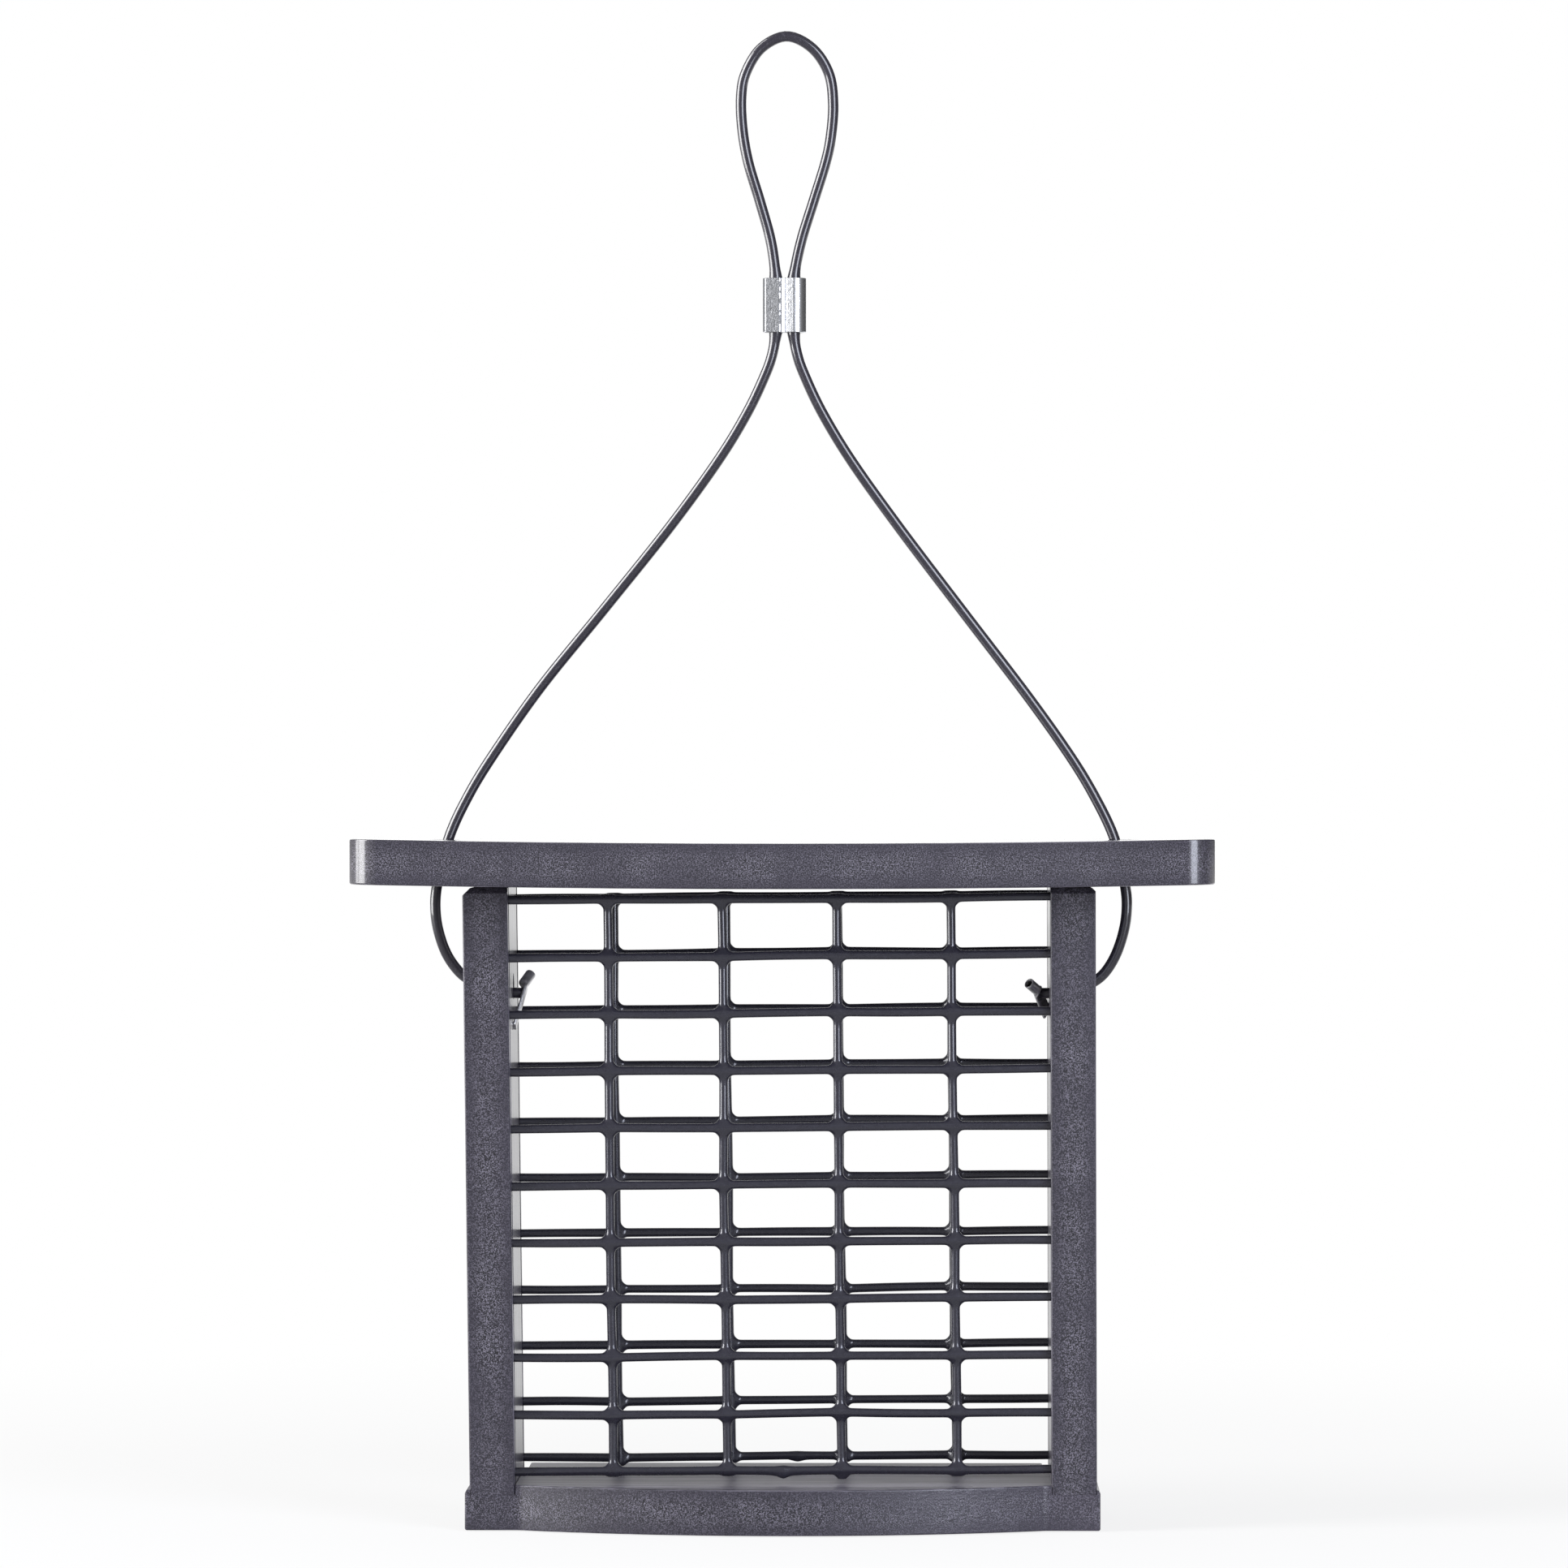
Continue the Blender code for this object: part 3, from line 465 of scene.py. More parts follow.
def coating_finish(context):
    """The glossy dipped coating of the mesh, with a little orange peel."""
    colours = context.scene.feeder_colours
    finish = new_finish("mesh_coating")
    place = finish.place()
    peel = finish.noise(place, 700, detail=2)
    dust = finish.noise(place, 2400, detail=1).ramp(0.55, 0.85)
    colour = finish.blend(dust * 0.2, opaque(colours.coating), opaque(colours.fleck, 0.4))
    finish.shade({"Base Color": colour, "Roughness": peel.ramp(0.3, 0.7, 0.26, 0.36), "IOR": 1.5,
                  "Specular Tint": (0.88, 0.89, 1.0, 1.0), "Coat Weight": 0.9, "Coat Roughness": 0.07,
                  "Normal": finish.bump(peel, PEEL_DEPTH)})
    return finish.owner


def sheath_finish(context):
    """The cable's black sheath, faintly lumpy over the strand inside."""
    colours = context.scene.feeder_colours
    finish = new_finish("cable_sheath")
    place = finish.place()
    lumps = finish.noise(place, 420, detail=1)
    scuffs = finish.noise(place, 1500, detail=3).ramp(0.58, 0.72)
    colour = finish.blend(scuffs * 0.3, opaque(colours.sheath), opaque(colours.fleck, 0.4))
    finish.shade({"Base Color": colour, "Roughness": scuffs * 0.14 + 0.3, "IOR": 1.5,
                  "Coat Weight": 1.0, "Coat Roughness": 0.06, "Normal": finish.bump(lumps, LUMP_DEPTH)})
    return finish.owner


def sleeve_finish(context):
    """Bright aluminium, scuffed where the crimping jaws dragged along it."""
    aluminium = context.scene.feeder_colours.aluminium
    finish = new_finish("crimped_aluminium")
    place = finish.place()
    across, out = finish.axes(place)[:2]
    turned = across * out.maths("SIGN", out) * (-1)
    left_flat, right_flat = [turned.ramp(*start) * turned.ramp(*end) for start, end in FLAT_EDGES]
    facing = left_flat.larger(right_flat)
    scuffs = finish.noise(finish.stretched(place, (1.0, 1.0, 0.5)), 4200, detail=3, distortion=0.8)
    drag = finish.noise(finish.stretched(place, (1.0, 1.0, 0.06)), 6000, detail=2)
    scuffed = finish.blend(scuffs.ramp(0.35, 0.65), opaque(aluminium, 0.48), opaque(aluminium, 0.78))
    colour = finish.blend(facing, opaque(aluminium, 1.25), scuffed)
    finish.shade({"Base Color": colour, "Metallic": 1.0, "Roughness": facing * 0.2 + 0.2,
                  "Normal": finish.bump(drag, DRAG_DEPTH, finish.bump(scuffs * facing, SCUFF_DEPTH))})
    return finish.owner


def steel_finish(name, context, level, roughness):
    """Dull metal with fine draw marks, and painted shade that makes it near-black down inside a tube's open
    end.
    """
    steel = context.scene.feeder_colours.steel
    finish = new_finish(name)
    place = finish.place()
    grain = finish.noise(place, 3200, detail=3)
    stain = finish.noise(place, 500, detail=2).ramp(0.4, 0.7)
    plain = finish.blend(stain, opaque(steel, level), opaque(steel, level * 0.7))
    # Painted shade: the colour goes near-black down inside a stop's open end
    bore_shade = finish.add("ShaderNodeAttribute", {"attribute_name": BORE_SHADE_LAYER}, output=2)
    colour = finish.blend(bore_shade.ramp(-0.1, 0.5), plain, opaque(steel, 0.05))
    finish.shade({"Base Color": colour, "Metallic": 0.85, "Roughness": grain * 0.2 + roughness,
                  "Normal": finish.bump(grain, GRAIN_DEPTH)})
    return finish.owner


def give_finish(obj, material):
    obj.data.materials.clear()
    obj.data.materials.append(material)


# Shapes

def add_piece(name, bm, material, slot, body, *nodes):
    """Makes a finished piece that rides on a body and stands for some construction nodes."""
    mesh = bpy.data.meshes.new(name)
    bm.to_mesh(mesh)
    bm.free()
    return add_mesh_piece(name, mesh, material, slot, body, *nodes)


def add_mesh_piece(name, mesh, material, slot, body, *nodes):
    obj = bpy.data.objects.new(name, mesh)
    bpy.context.scene.collection.objects.link(obj)
    give_finish(obj, material)
    if body is not None:
        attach(obj, body)
    if nodes:
        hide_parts(*nodes)
    return obj


def smooth(obj, sharp_angle):
    """Shades round surfaces smooth, and keeps flat faces flat beside them."""
    obj.data.shade_smooth()
    obj.data.set_sharp_from_angle(angle=sharp_angle)
    weighted = obj.modifiers.new("flat_faces_stay_flat", "WEIGHTED_NORMAL")
    weighted.keep_sharp = True


def merged_copy(node):
    """A construction node's own shape with its triangles merged into whole faces."""
    bm = bmesh.new()
    bm.from_mesh(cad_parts[node].data)
    bmesh.ops.remove_doubles(bm, verts=bm.verts, dist=MERGE_DISTANCE)
    bmesh.ops.dissolve_limit(bm, angle_limit=FLAT_ANGLE, verts=bm.verts, edges=bm.edges)
    return bm


def only_verts(geometry):
    return [item for item in geometry if isinstance(item, bmesh.types.BMVert)]


def add_bar(bm, sides, radius, length, cuts):
    """A round bar that stands on the origin, cut across so that it can be shaped."""
    bmesh.ops.create_circle(bm, cap_ends=True, segments=sides, radius=radius)
    drawn = bmesh.ops.extrude_face_region(bm, geom=bm.faces[:])["geom"]
    bmesh.ops.translate(bm, verts=only_verts(drawn), vec=(0, 0, length))
    upright = [edge for edge in bm.edges if abs(edge.verts[0].co.z - edge.verts[1].co.z) > MERGE_DISTANCE]
    bmesh.ops.subdivide_edges(bm, edges=upright, cuts=cuts)


def round_off(bm, edges, width):
    bmesh.ops.bevel(bm, geom=edges, offset=width, offset_type="OFFSET", segments=2, profile=0.5,
                    affect="EDGES", material=-1)


# The welded mesh

def wire_ring(bm, axis, layer, distance, radius):
    """A ring of a wire's outline, square to its axis, at a distance from the crossing."""
    turn = axis.to_track_quat("Z", "Y").to_matrix().to_4x4()
    place = Matrix.Translation(axis * distance + Vector((0, layer, 0)))
    ring = bmesh.ops.create_circle(bm, segments=WIRE_SIDES, radius=radius, matrix=place @ turn)
    return ring["verts"]


def knuckle(arms, radius):
    """One crossing about the origin: the coating that fills the corners between its wires,
    with its arms drawn out. An arm is its axis, its layer, which way it runs, the steps at
    which it has a ring, and whether it ends there."""
    bm = bmesh.new()
    rings = []
    for axis, layer, way, steps, is_end in arms:
        ring = wire_ring(bm, axis, layer, way * min(KNUCKLE_REACH, steps[-1]), radius)
        rings.append((ring, axis * way, [step - KNUCKLE_REACH for step in steps], is_end))
    bmesh.ops.convex_hull(bm, input=bm.verts[:], use_existing_faces=False)
    for ring, direction, reaches, is_end in rings:
        members = set(ring)
        if is_end and reaches[-1] < MERGE_DISTANCE:
            continue
        bmesh.ops.delete(bm, geom=[face for face in bm.faces if set(face.verts) <= members], context="FACES")
        rim = [edge for edge in bm.edges if edge.is_boundary and set(edge.verts) <= members]
        reached = 0
        for reach in reaches:
            if reach < MERGE_DISTANCE:
                continue
            tip = only_verts(bmesh.ops.extrude_edge_only(bm, edges=rim)["geom"])
            bmesh.ops.translate(bm, verts=tip, vec=direction * (reach - reached))
            reached = reach
            rim = [edge for edge in bm.edges if set(edge.verts) <= set(tip)]
        if is_end:
            bmesh.ops.edgeloop_fill(bm, edges=rim)
    return bm


def drawn_steps(pitch, between):
    """Where the wire from one knuckle to the next has rings: close to both, and between."""
    near = [KNUCKLE_REACH, KNUCKLE_REACH + HOLD]
    return near + between + [pitch - step for step in reversed(near)]


def panel_cage(box, sizes, stub_lengths):
    """The control cage of a whole panel, standing in its box with its level wires outside."""
    low, high = box
    radius = sizes.wire_thickness / 2 * CAGE_SWELL
    half = (high.x - low.x) / 2 - GROOVE_SPARE
    gaps_across = math.floor((2 * half - sizes.wire_thickness) / PITCH_ACROSS)
    columns = [PITCH_ACROSS * (k - gaps_across / 2) for k in range(gaps_across + 1)]
    bottom = low.z + STUB_BELOW
    rows = [bottom + PITCH_UP * k for k in range(round((high.z - STUB_ABOVE - bottom) / PITCH_UP) + 1)]
    across = Vector((1, 0, 0))
    up = Vector((0, 0, 1))
    outer = -LAYER_STEP / 2
    inner = LAYER_STEP / 2
    root = [KNUCKLE_REACH]
    drawn_across = drawn_steps(PITCH_ACROSS, [PITCH_ACROSS / 2])
    drawn_up = drawn_steps(PITCH_UP, [])
    panel = bmesh.new()
    for column, x in enumerate(columns):
        for z in rows:
            at_left = x == columns[0]
            at_right = x == columns[-1]
            at_bottom = z == rows[0]
            at_top = z == rows[-1]
            crossing = knuckle([
                (across, outer, -1, [half + x] if at_left else root, at_left),
                (across, outer, 1, [half - x] if at_right else drawn_across, at_right),
                (up, inner, -1, [stub_lengths[column]] if at_bottom else root, at_bottom),
                (up, inner, 1, [STUB_ABOVE] if at_top else drawn_up, at_top),
            ], radius)
            bmesh.ops.translate(crossing, verts=crossing.verts, vec=(x, 0, z))
            copy = bpy.data.meshes.new("crossing_copy")
            crossing.to_mesh(copy)
            crossing.free()
            panel.from_mesh(copy)
            bpy.data.meshes.remove(copy)
    bmesh.ops.remove_doubles(panel, verts=panel.verts, dist=MERGE_DISTANCE)
    bmesh.ops.join_triangles(panel, faces=panel.faces, angle_face_threshold=math.radians(30),
                             angle_shape_threshold=math.radians(60))
    bmesh.ops.recalc_face_normals(panel, faces=panel.faces)
    return panel


def add_drip(panel, place, depth, swell):
    """A drop of coating on the lowest wire: rings are cut round it, then pulled down."""
    for share in DRIP_RINGS:
        x = place.x + share * DRIP_WIDTH
        near = [face for face in panel.faces
                if abs(face.calc_center_median().z - place.z) < KNUCKLE_REACH
                and abs(face.calc_center_median().x - place.x) < PITCH_ACROSS / 2]
        geometry = list(dict.fromkeys(item for face in near for item in (*face.verts, *face.edges, face)))
        bmesh.ops.bisect_plane(panel, geom=geometry, dist=MERGE_DISTANCE,
                               plane_co=(x, 0, 0), plane_no=(1, 0, 0))
    for vert in panel.verts:
        if abs(vert.co.z - place.z) > KNUCKLE_REACH or abs(vert.co.x - place.x) > DRIP_WIDTH:
            continue
        share = (1 + math.cos(math.pi * (vert.co.x - place.x) / DRIP_WIDTH)) / 2
        away = vert.co.z - place.z
        vert.co.z += share * (away * swell - (depth if away < 0 else 0))
        vert.co.y += share * swell * (vert.co.y - place.y)


def stray(panel, centre, sizes, seed):
    """Leans the panel in its grooves, and lets each wire wander from its straight line."""
    turn = Matrix.Rotation(-sizes.panel_lean, 3, "Y")
    bmesh.ops.rotate(panel, verts=panel.verts, cent=centre, matrix=turn)
    foot = min(vert.co.z for vert in panel.verts)
    for vert in panel.verts:
        vert.co.x -= (vert.co.z - foot) * math.tan(sizes.panel_rack)
        x, z = vert.co.x, vert.co.z
        level = noise.noise_vector(Vector((x / BEND_SPACING, z / LEVEL_BEND_RISE, seed)))
        upright = noise.noise_vector(Vector((x / BEND_SPACING, z / UPRIGHT_BEND_RISE, seed + UPRIGHT_SEED)))
        vert.co += Vector((upright.x, level.y * STRAY_IN_DEPTH, level.z)) * sizes.wire_wander


def build_panel(kind, context, material):
    """One panel of the mesh, in its place in the posts' grooves."""
    sizes = context.scene.feeder_sizes
    low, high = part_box(kind.node)
    centre = (Vector(low) + Vector(high)) / 2
    panel = panel_cage((Vector(low), Vector(high)), sizes, kind.stub_lengths)
    for x, depth, swell in kind.drips:
        add_drip(panel, Vector((x, -LAYER_STEP / 2, low[2] + STUB_BELOW)), depth, swell)
    if kind.turned:
        bmesh.ops.rotate(panel, verts=panel.verts, cent=(0, 0, 0), matrix=Matrix.Rotation(math.pi, 3, "Z"))
    bmesh.ops.translate(panel, verts=panel.verts, vec=(0, centre.y, 0))
    stray(panel, centre, sizes, kind.seed)
    obj = add_piece(kind.name, panel, material, "mesh_coating", "frame", kind.node)
    obj.data.shade_smooth()
    rounded = obj.modifiers.new("rounded", "SUBSURF")
    rounded.levels = 2
    rounded.render_levels = 2
    return obj


# The cable

def smooth_route(route, count):
    """Evenly spaced points along one smooth curve through the route's own points."""
    points = [Vector((x, 0, z)) for x, z in route]
    points = [2 * points[0] - points[1]] + points + [2 * points[-1] - points[-2]]
    dense = []
    for before, start, end, after in zip(points, points[1:], points[2:], points[3:]):
        for k in range(ROUTE_DETAIL):
            t = k / ROUTE_DETAIL
            dense.append(0.5 * (2 * start + (end - before) * t
                                + (2 * before - 5 * start + 4 * end - after) * t ** 2
                                + (3 * start - before - 3 * end + after) * t ** 3))
    dense.append(points[-2])
    steps = [(b - a).length for a, b in zip(dense, dense[1:])]
    spacing = sum(steps) / (count - 1)
    placed = [dense[0]]
    travelled = 0
    for (a, b), step in zip(zip(dense, dense[1:]), steps):
        while len(placed) < count - 1 and travelled + step >= spacing * len(placed):
            placed.append(a.lerp(b, (spacing * len(placed) - travelled) / step))
        travelled += step
    return placed + [dense[-1]]


def cable_mesh(name, points, thickness, swells):
    """A tube along the points, each with its own share of the thickness."""
    curve = bpy.data.curves.new(name, "CURVE")
    curve.dimensions = "3D"
    curve.bevel_depth = thickness / 2
    curve.bevel_resolution = CABLE_ROUNDNESS
    curve.use_fill_caps = True
    spline = curve.splines.new("POLY")
    spline.points.add(len(points) - 1)
    for point, place, swell in zip(spline.points, points, swells):
        point.co = (*place, 1)
        point.radius = swell
    holder = bpy.data.objects.new(name, curve)
    bpy.context.scene.collection.objects.link(holder)
    graph = bpy.context.evaluated_depsgraph_get()
    mesh = bpy.data.meshes.new_from_object(holder.evaluated_get(graph))
    bpy.data.objects.remove(holder)
    bpy.data.curves.remove(curve)
    bm = bmesh.new()
    bm.from_mesh(mesh)
    bmesh.ops.remove_doubles(bm, verts=bm.verts, dist=MERGE_DISTANCE)
    bm.to_mesh(mesh)
    bm.free()
    mesh.shade_smooth()
    mesh.set_sharp_from_angle(angle=SHARP_ANGLE)
    return mesh


def crimp_swells(points):
    """The cable's thickness at each point, which bulges where the sleeve squeezes it out."""
    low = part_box("loop_ferrule")[0][2]
    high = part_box("loop_ferrule")[1][2]
    swells = []
    for point in points:
        away = max(low - point.z, point.z - high, 0)
        swells.append(1.0 + CRIMP_SWELL * max(0, 1 - away / CRIMP_SWELL_LENGTH) ** 2)
    return swells


def build_cable(name, node, route, count, material, context, body=None, bodies=None, flared=False):
    """A stretch of the cable. It rides on one body, or, when it runs between two, on none, with
    its shape fixed where it hangs; where it meets a stop its sheath is squeezed wide."""
    thickness = context.scene.feeder_sizes.cable_thickness
    points = smooth_route(route, count)
    swells = crimp_swells(points)
    if flared:
        inward = (points[-1] - points[-2]).normalized()
        for k in range(SPREAD_POINTS):
            share = (k + 1) / SPREAD_POINTS
            points.append(points[len(swells) - 1] + inward * SHEATH_SPREAD / SPREAD_POINTS)
            swells.append(1.0 + SHEATH_FLARE * share)
    mesh = cable_mesh(name, points, thickness, swells)
    obj = add_mesh_piece(name, mesh, material, "cable_sheath", body, node)
    if bodies is not None:
        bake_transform(obj)
    length = sum((b - a).length for a, b in zip(points, points[1:]))
    return obj


# The metal fittings

def crimped_place(angle, height, radius, valley):
    """Where a point of a unit circle goes on the sleeve: onto one of its two barrels, then
    in to the flats of the jaws, which are dented. The back is the front turned round."""
    side = 1 if math.cos(angle) >= 0 else -1
    barrel_angle = math.asin(math.sin(angle)) * (math.pi - math.asin(valley / radius)) / (math.pi / 2)
    place = Vector((BARREL_CENTRES[side] + side * radius * math.cos(barrel_angle),
                    radius * math.sin(barrel_angle), height))
    half_turn = 1 if place.y < 0 else -1
    for flat_side, bearing, reach in JAW_FLATS:
        facing = Vector((math.sin(math.radians(bearing)), -math.cos(math.radians(bearing)), 0)) * half_turn
        pressed = place.x * facing.x + place.y * facing.y - reach
        if flat_side * half_turn == side and pressed > 0:
            dent = noise.noise(Vector((place.x, place.y, height * DENT_STRETCH)) / DENT_SIZE)
            ragged = min(1, pressed / (DENT_DEPTH * DENT_FADE))
            place -= facing * (pressed + DENT_DEPTH * dent * ragged)
    return place


def build_sleeve(context):
    """The double sleeve, crimped round both runs of the cable: two barrels and a valley."""
    low, high = (Vector(corner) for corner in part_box("loop_ferrule"))
    radius = (high.y - low.y) / 2
    bm = bmesh.new()
    add_bar(bm, SLEEVE_SIDES, 1.0, high.z - low.z, SLEEVE_CUTS)
    for vert in bm.verts:
        angle = math.atan2(vert.co.y, vert.co.x)
        vert.co = crimped_place(angle, vert.co.z + low.z, radius, radius * VALLEY_SHARE)
    rims = [edge for face in bm.faces if len(face.verts) > 4 for edge in face.edges]
    round_off(bm, rims, SLEEVE_BEVEL)
    bmesh.ops.recalc_face_normals(bm, faces=bm.faces)
    sleeve = add_piece("crimped_sleeve", bm, sleeve_finish(context), "bright_aluminium",
                       "hanger", "loop_ferrule")
    smooth(sleeve, SLEEVE_SHARP_ANGLE)
    return sleeve


def stop_outline(angle, height, side, pose):
    """Where a point of the stop's tube goes at a height above the cable: the tube is round
    at its open end and flat from the pinch down."""
    share = min(1, max(0, (pose.bend_height + STOP_PINCH_LENGTH - height) / STOP_PINCH_LENGTH))
    flatness = share * share * (3 - 2 * share)
    wide = STOP_RADIUS + flatness * (STOP_FLAT_WIDTH / 2 - STOP_RADIUS)
    thin = STOP_RADIUS + flatness * (STOP_FLAT_THICKNESS / 2 - STOP_RADIUS)
    power = 1 / (1 + flatness)
    across = math.copysign(abs(math.cos(angle)) ** power, math.cos(angle))
    along = math.copysign(abs(math.sin(angle)) ** power, math.sin(angle))
    twist = Matrix.Rotation(math.radians(pose.twist), 3, "Z")
    twisted = twist @ Vector((across * thin, along * wide, height))
    return twisted + Vector((side * pose.shift * (1 - flatness), 0, 0))


def stop_turn(side, lean, turn):
    """A lean away from the post and a turn about the cable, in degrees."""
    return (Matrix.Rotation(math.radians(turn), 4, "X")
            @ Matrix.Rotation(math.radians(-side * lean), 4, "Y"))


def build_stop(side_name, tail_route, material):
    """A bit of tube with one open round end, pinched flat across the cable."""
    side = -1 if side_name == "left" else 1
    pose = STOP_POSES[side_name]
    above = pose.bend_height + STOP_PINCH_LENGTH + pose.round_length
    bm = bmesh.new()
    bore_shade = bm.verts.layers.float.new(BORE_SHADE_LAYER)
    add_bar(bm, STOP_SIDES, STOP_RADIUS, above + pose.below, STOP_CUTS)
    for vert in bm.verts:
        angle = math.atan2(vert.co.y, vert.co.x)
        vert.co = stop_outline(angle, vert.co.z - pose.below, side, pose)
    mouth = [face for face in bm.faces if len(face.verts) > 4 and face.calc_center_median().z > 0]
    bmesh.ops.inset_region(bm, faces=mouth, thickness=STOP_WALL)
    floor = only_verts(bmesh.ops.extrude_face_region(bm, geom=mouth)["geom"])
    bmesh.ops.translate(bm, verts=floor, vec=(0, 0, -pose.round_length * BORE_SHARE))
    # The floor inside the open end is marked fully for the painted shade
    for vert in floor:
        vert[bore_shade] = 1.0
    bmesh.ops.delete(bm, geom=mouth, context="FACES_ONLY")
    rims = [edge for edge in bm.edges if edge.calc_face_angle(0) > RIM_ANGLE
            and min(vert.co.z for vert in edge.verts) > above - MERGE_DISTANCE]
    round_off(bm, rims, RIM_BEVEL)
    pivot = Vector((0, 0, pose.bend_height))
    for vert in bm.verts:
        share = min(1, max(0, (vert.co.z - pose.bend_height) / STOP_PINCH_LENGTH))
        bend = stop_turn(side, pose.bend_lean * share, pose.bend_turn * share)
        vert.co = pivot + bend @ (vert.co - pivot)
    bmesh.ops.recalc_face_normals(bm, faces=bm.faces)
    tail_end = tail_route[-1]
    place = Vector((tail_end[0] - side * STOP_BEYOND_SHEATH, 0, tail_end[1]))
    bmesh.ops.transform(bm, verts=bm.verts,
                        matrix=Matrix.Translation(place) @ stop_turn(side, pose.lean, pose.turn))
    stop = add_piece(side_name + "_cable_stop", bm, material, "grey_steel",
                     "frame", "cable_stop_" + side_name)
    smooth(stop, SHARP_ANGLE)
    return stop


def build_core(side_name, tail_route, material):
    """The strand that holds the stop, with its rounded head hard against the flat."""
    node = "cable_core_" + side_name
    side = -1 if side_name == "left" else 1
    bm = merged_copy(node)
    reach = min(abs(vert.co.x) for vert in bm.verts)
    move = abs(tail_route[-1][0]) - STOP_BEYOND_SHEATH - reach + STRAND_INSIDE_STOP
    bmesh.ops.translate(bm, verts=bm.verts, vec=(side * move, 0, 0))
    rims = [edge for edge in bm.edges if edge.calc_face_angle(0) > SHARP_ANGLE]
    round_off(bm, rims, STRAND_BEVEL)
    core = add_piece(side_name + "_strand_end", bm, material, "grey_steel", "frame", node)
    smooth(core, SHARP_ANGLE)
    return core


def build_screw(node, material):
    """A screw with a cross recess pressed into its flat head, under the base."""
    low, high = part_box(node)
    x, y = (low[0] + high[0]) / 2, (low[1] + high[1]) / 2
    screw = add_piece(node + "_head", merged_copy(node), material, "screw_steel", "frame", node)
    cutter_bm = bmesh.new()
    for length, width in ((RECESS_REACH, RECESS_WIDTH), (RECESS_WIDTH, RECESS_REACH)):
        arm = Matrix.Diagonal((2 * length, 2 * width, 2 * RECESS_DEPTH, 1))
        bmesh.ops.create_cube(cutter_bm, size=1.0, matrix=Matrix.Translation((x, y, low[2])) @ arm)
    for vert in cutter_bm.verts:
        if vert.co.z > low[2]:
            vert.co.x += (x - vert.co.x) * RECESS_TAPER
            vert.co.y += (y - vert.co.y) * RECESS_TAPER
    cut_out(screw, cutter_bm)
    smooth(screw, SHARP_ANGLE)
    return screw


def cut_out(obj, cutter_bm):
    """Cuts a shape out of an object for good. The cutter is gone afterwards."""
    mesh = bpy.data.meshes.new("cutter")
    cutter_bm.to_mesh(mesh)
    cutter_bm.free()
    cutter = bpy.data.objects.new("cutter", mesh)
    bpy.context.scene.collection.objects.link(cutter)
    cut = obj.modifiers.new("cut", "BOOLEAN")
    cut.operation = "DIFFERENCE"
    cut.solver = "EXACT"
    cut.use_self = True
    cut.object = cutter
    graph = bpy.context.evaluated_depsgraph_get()
    result = bpy.data.meshes.new_from_object(obj.evaluated_get(graph))
    obj.modifiers.remove(cut)
    obj.data = result
    bpy.data.objects.remove(cutter)


def build_boards(context):
    """The two boards and the posts, each with a finish that follows its own thickness."""
    for board in BOARDS:
        bm = merged_copy(board.node)
        if board.lean:
            stand(bm, board)
        if board.node == "base":
            close_seams(bm)
            square_back(bm)
        obj = add_piece(board.name, bm, board_finish(context, board), "board", board.body, board.node)
        smooth(obj, BOARD_SHARP_ANGLE)


def stand(bm, board):
    """Lets a post down onto the floor of its channel, then leans it to the left."""
    floor = min(vert.co.z for vert in bm.verts)
    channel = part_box("base")[1][2] - CHANNEL_DEPTH
    for vert in bm.verts:
        if vert.co.z < floor + MERGE_DISTANCE:
            vert.co.z = channel + SEAM
    slant = Matrix.Identity(4)
    slant[0][2] = -math.tan(board.lean)
    bmesh.ops.transform(bm, verts=bm.verts, matrix=Matrix.Translation((board.shift, 0, 0)) @ slant)


def square_back(bm):
    """Makes the base's round back corners square, as no round ones show in the photograph."""
    for vert in bm.verts:
        across = abs(vert.co.x) - BACK_CORNER[0]
        out = vert.co.y - BACK_CORNER[1]
        if out > 0 and 0 < across < BACK_REACH:
            square = math.hypot(across, out) / max(across, out)
            vert.co.x = math.copysign(BACK_CORNER[0] + across * square, vert.co.x)
            vert.co.y = BACK_CORNER[1] + out * square


def close_seams(bm):
    """Brings the walls of the base's channels up to the posts' feet."""
    for vert in bm.verts:
        for side, wall, closed in DADO_WALLS:
            if abs(vert.co.x - side * wall) < MERGE_DISTANCE:
                vert.co.x = side * closed


# Operators

class FEEDER_OT_boards(bpy.types.Operator):
    """Dresses the roof, the base and the two posts"""

    bl_idname = "feeder.boards"
    bl_label = "Boards and posts"

    def execute(self, context):
        build_boards(context)
        return {"FINISHED"}


class FEEDER_OT_panels(bpy.types.Operator):
    """Builds the two panels of coated welded mesh"""

    bl_idname = "feeder.panels"
    bl_label = "Mesh panels"

    def execute(self, context):
        noise.seed_set(WANDER_SEED)
        material = coating_finish(context)
        for kind in PANELS:
            build_panel(kind, context, material)
        return {"FINISHED"}


class FEEDER_OT_cable(bpy.types.Operator):
    """Builds the coated cable, from its stops up through the roof and into the loop"""

    bl_idname = "feeder.cable"
    bl_label = "Cable"

    def execute(self, context):
        sheath = sheath_finish(context)
        build_cable("hanging_loop", "cable_loop", LOOP_ROUTE, LOOP_POINTS, sheath, context, body="hanger")
        for side, route in (("left", LEFT_LEG_ROUTE), ("right", RIGHT_LEG_ROUTE)):
            build_cable(side + "_cable_leg", "cable_leg_" + side, route, LEG_POINTS, sheath, context,
                        bodies=("roof", "hanger"))
        for side, route in (("left", LEFT_TAIL_ROUTE), ("right", RIGHT_TAIL_ROUTE)):
            build_cable(side + "_cable_tail", "cable_tail_" + side, route, TAIL_POINTS, sheath, context,
                        bodies=("frame", "roof"), flared=True)
        return {"FINISHED"}


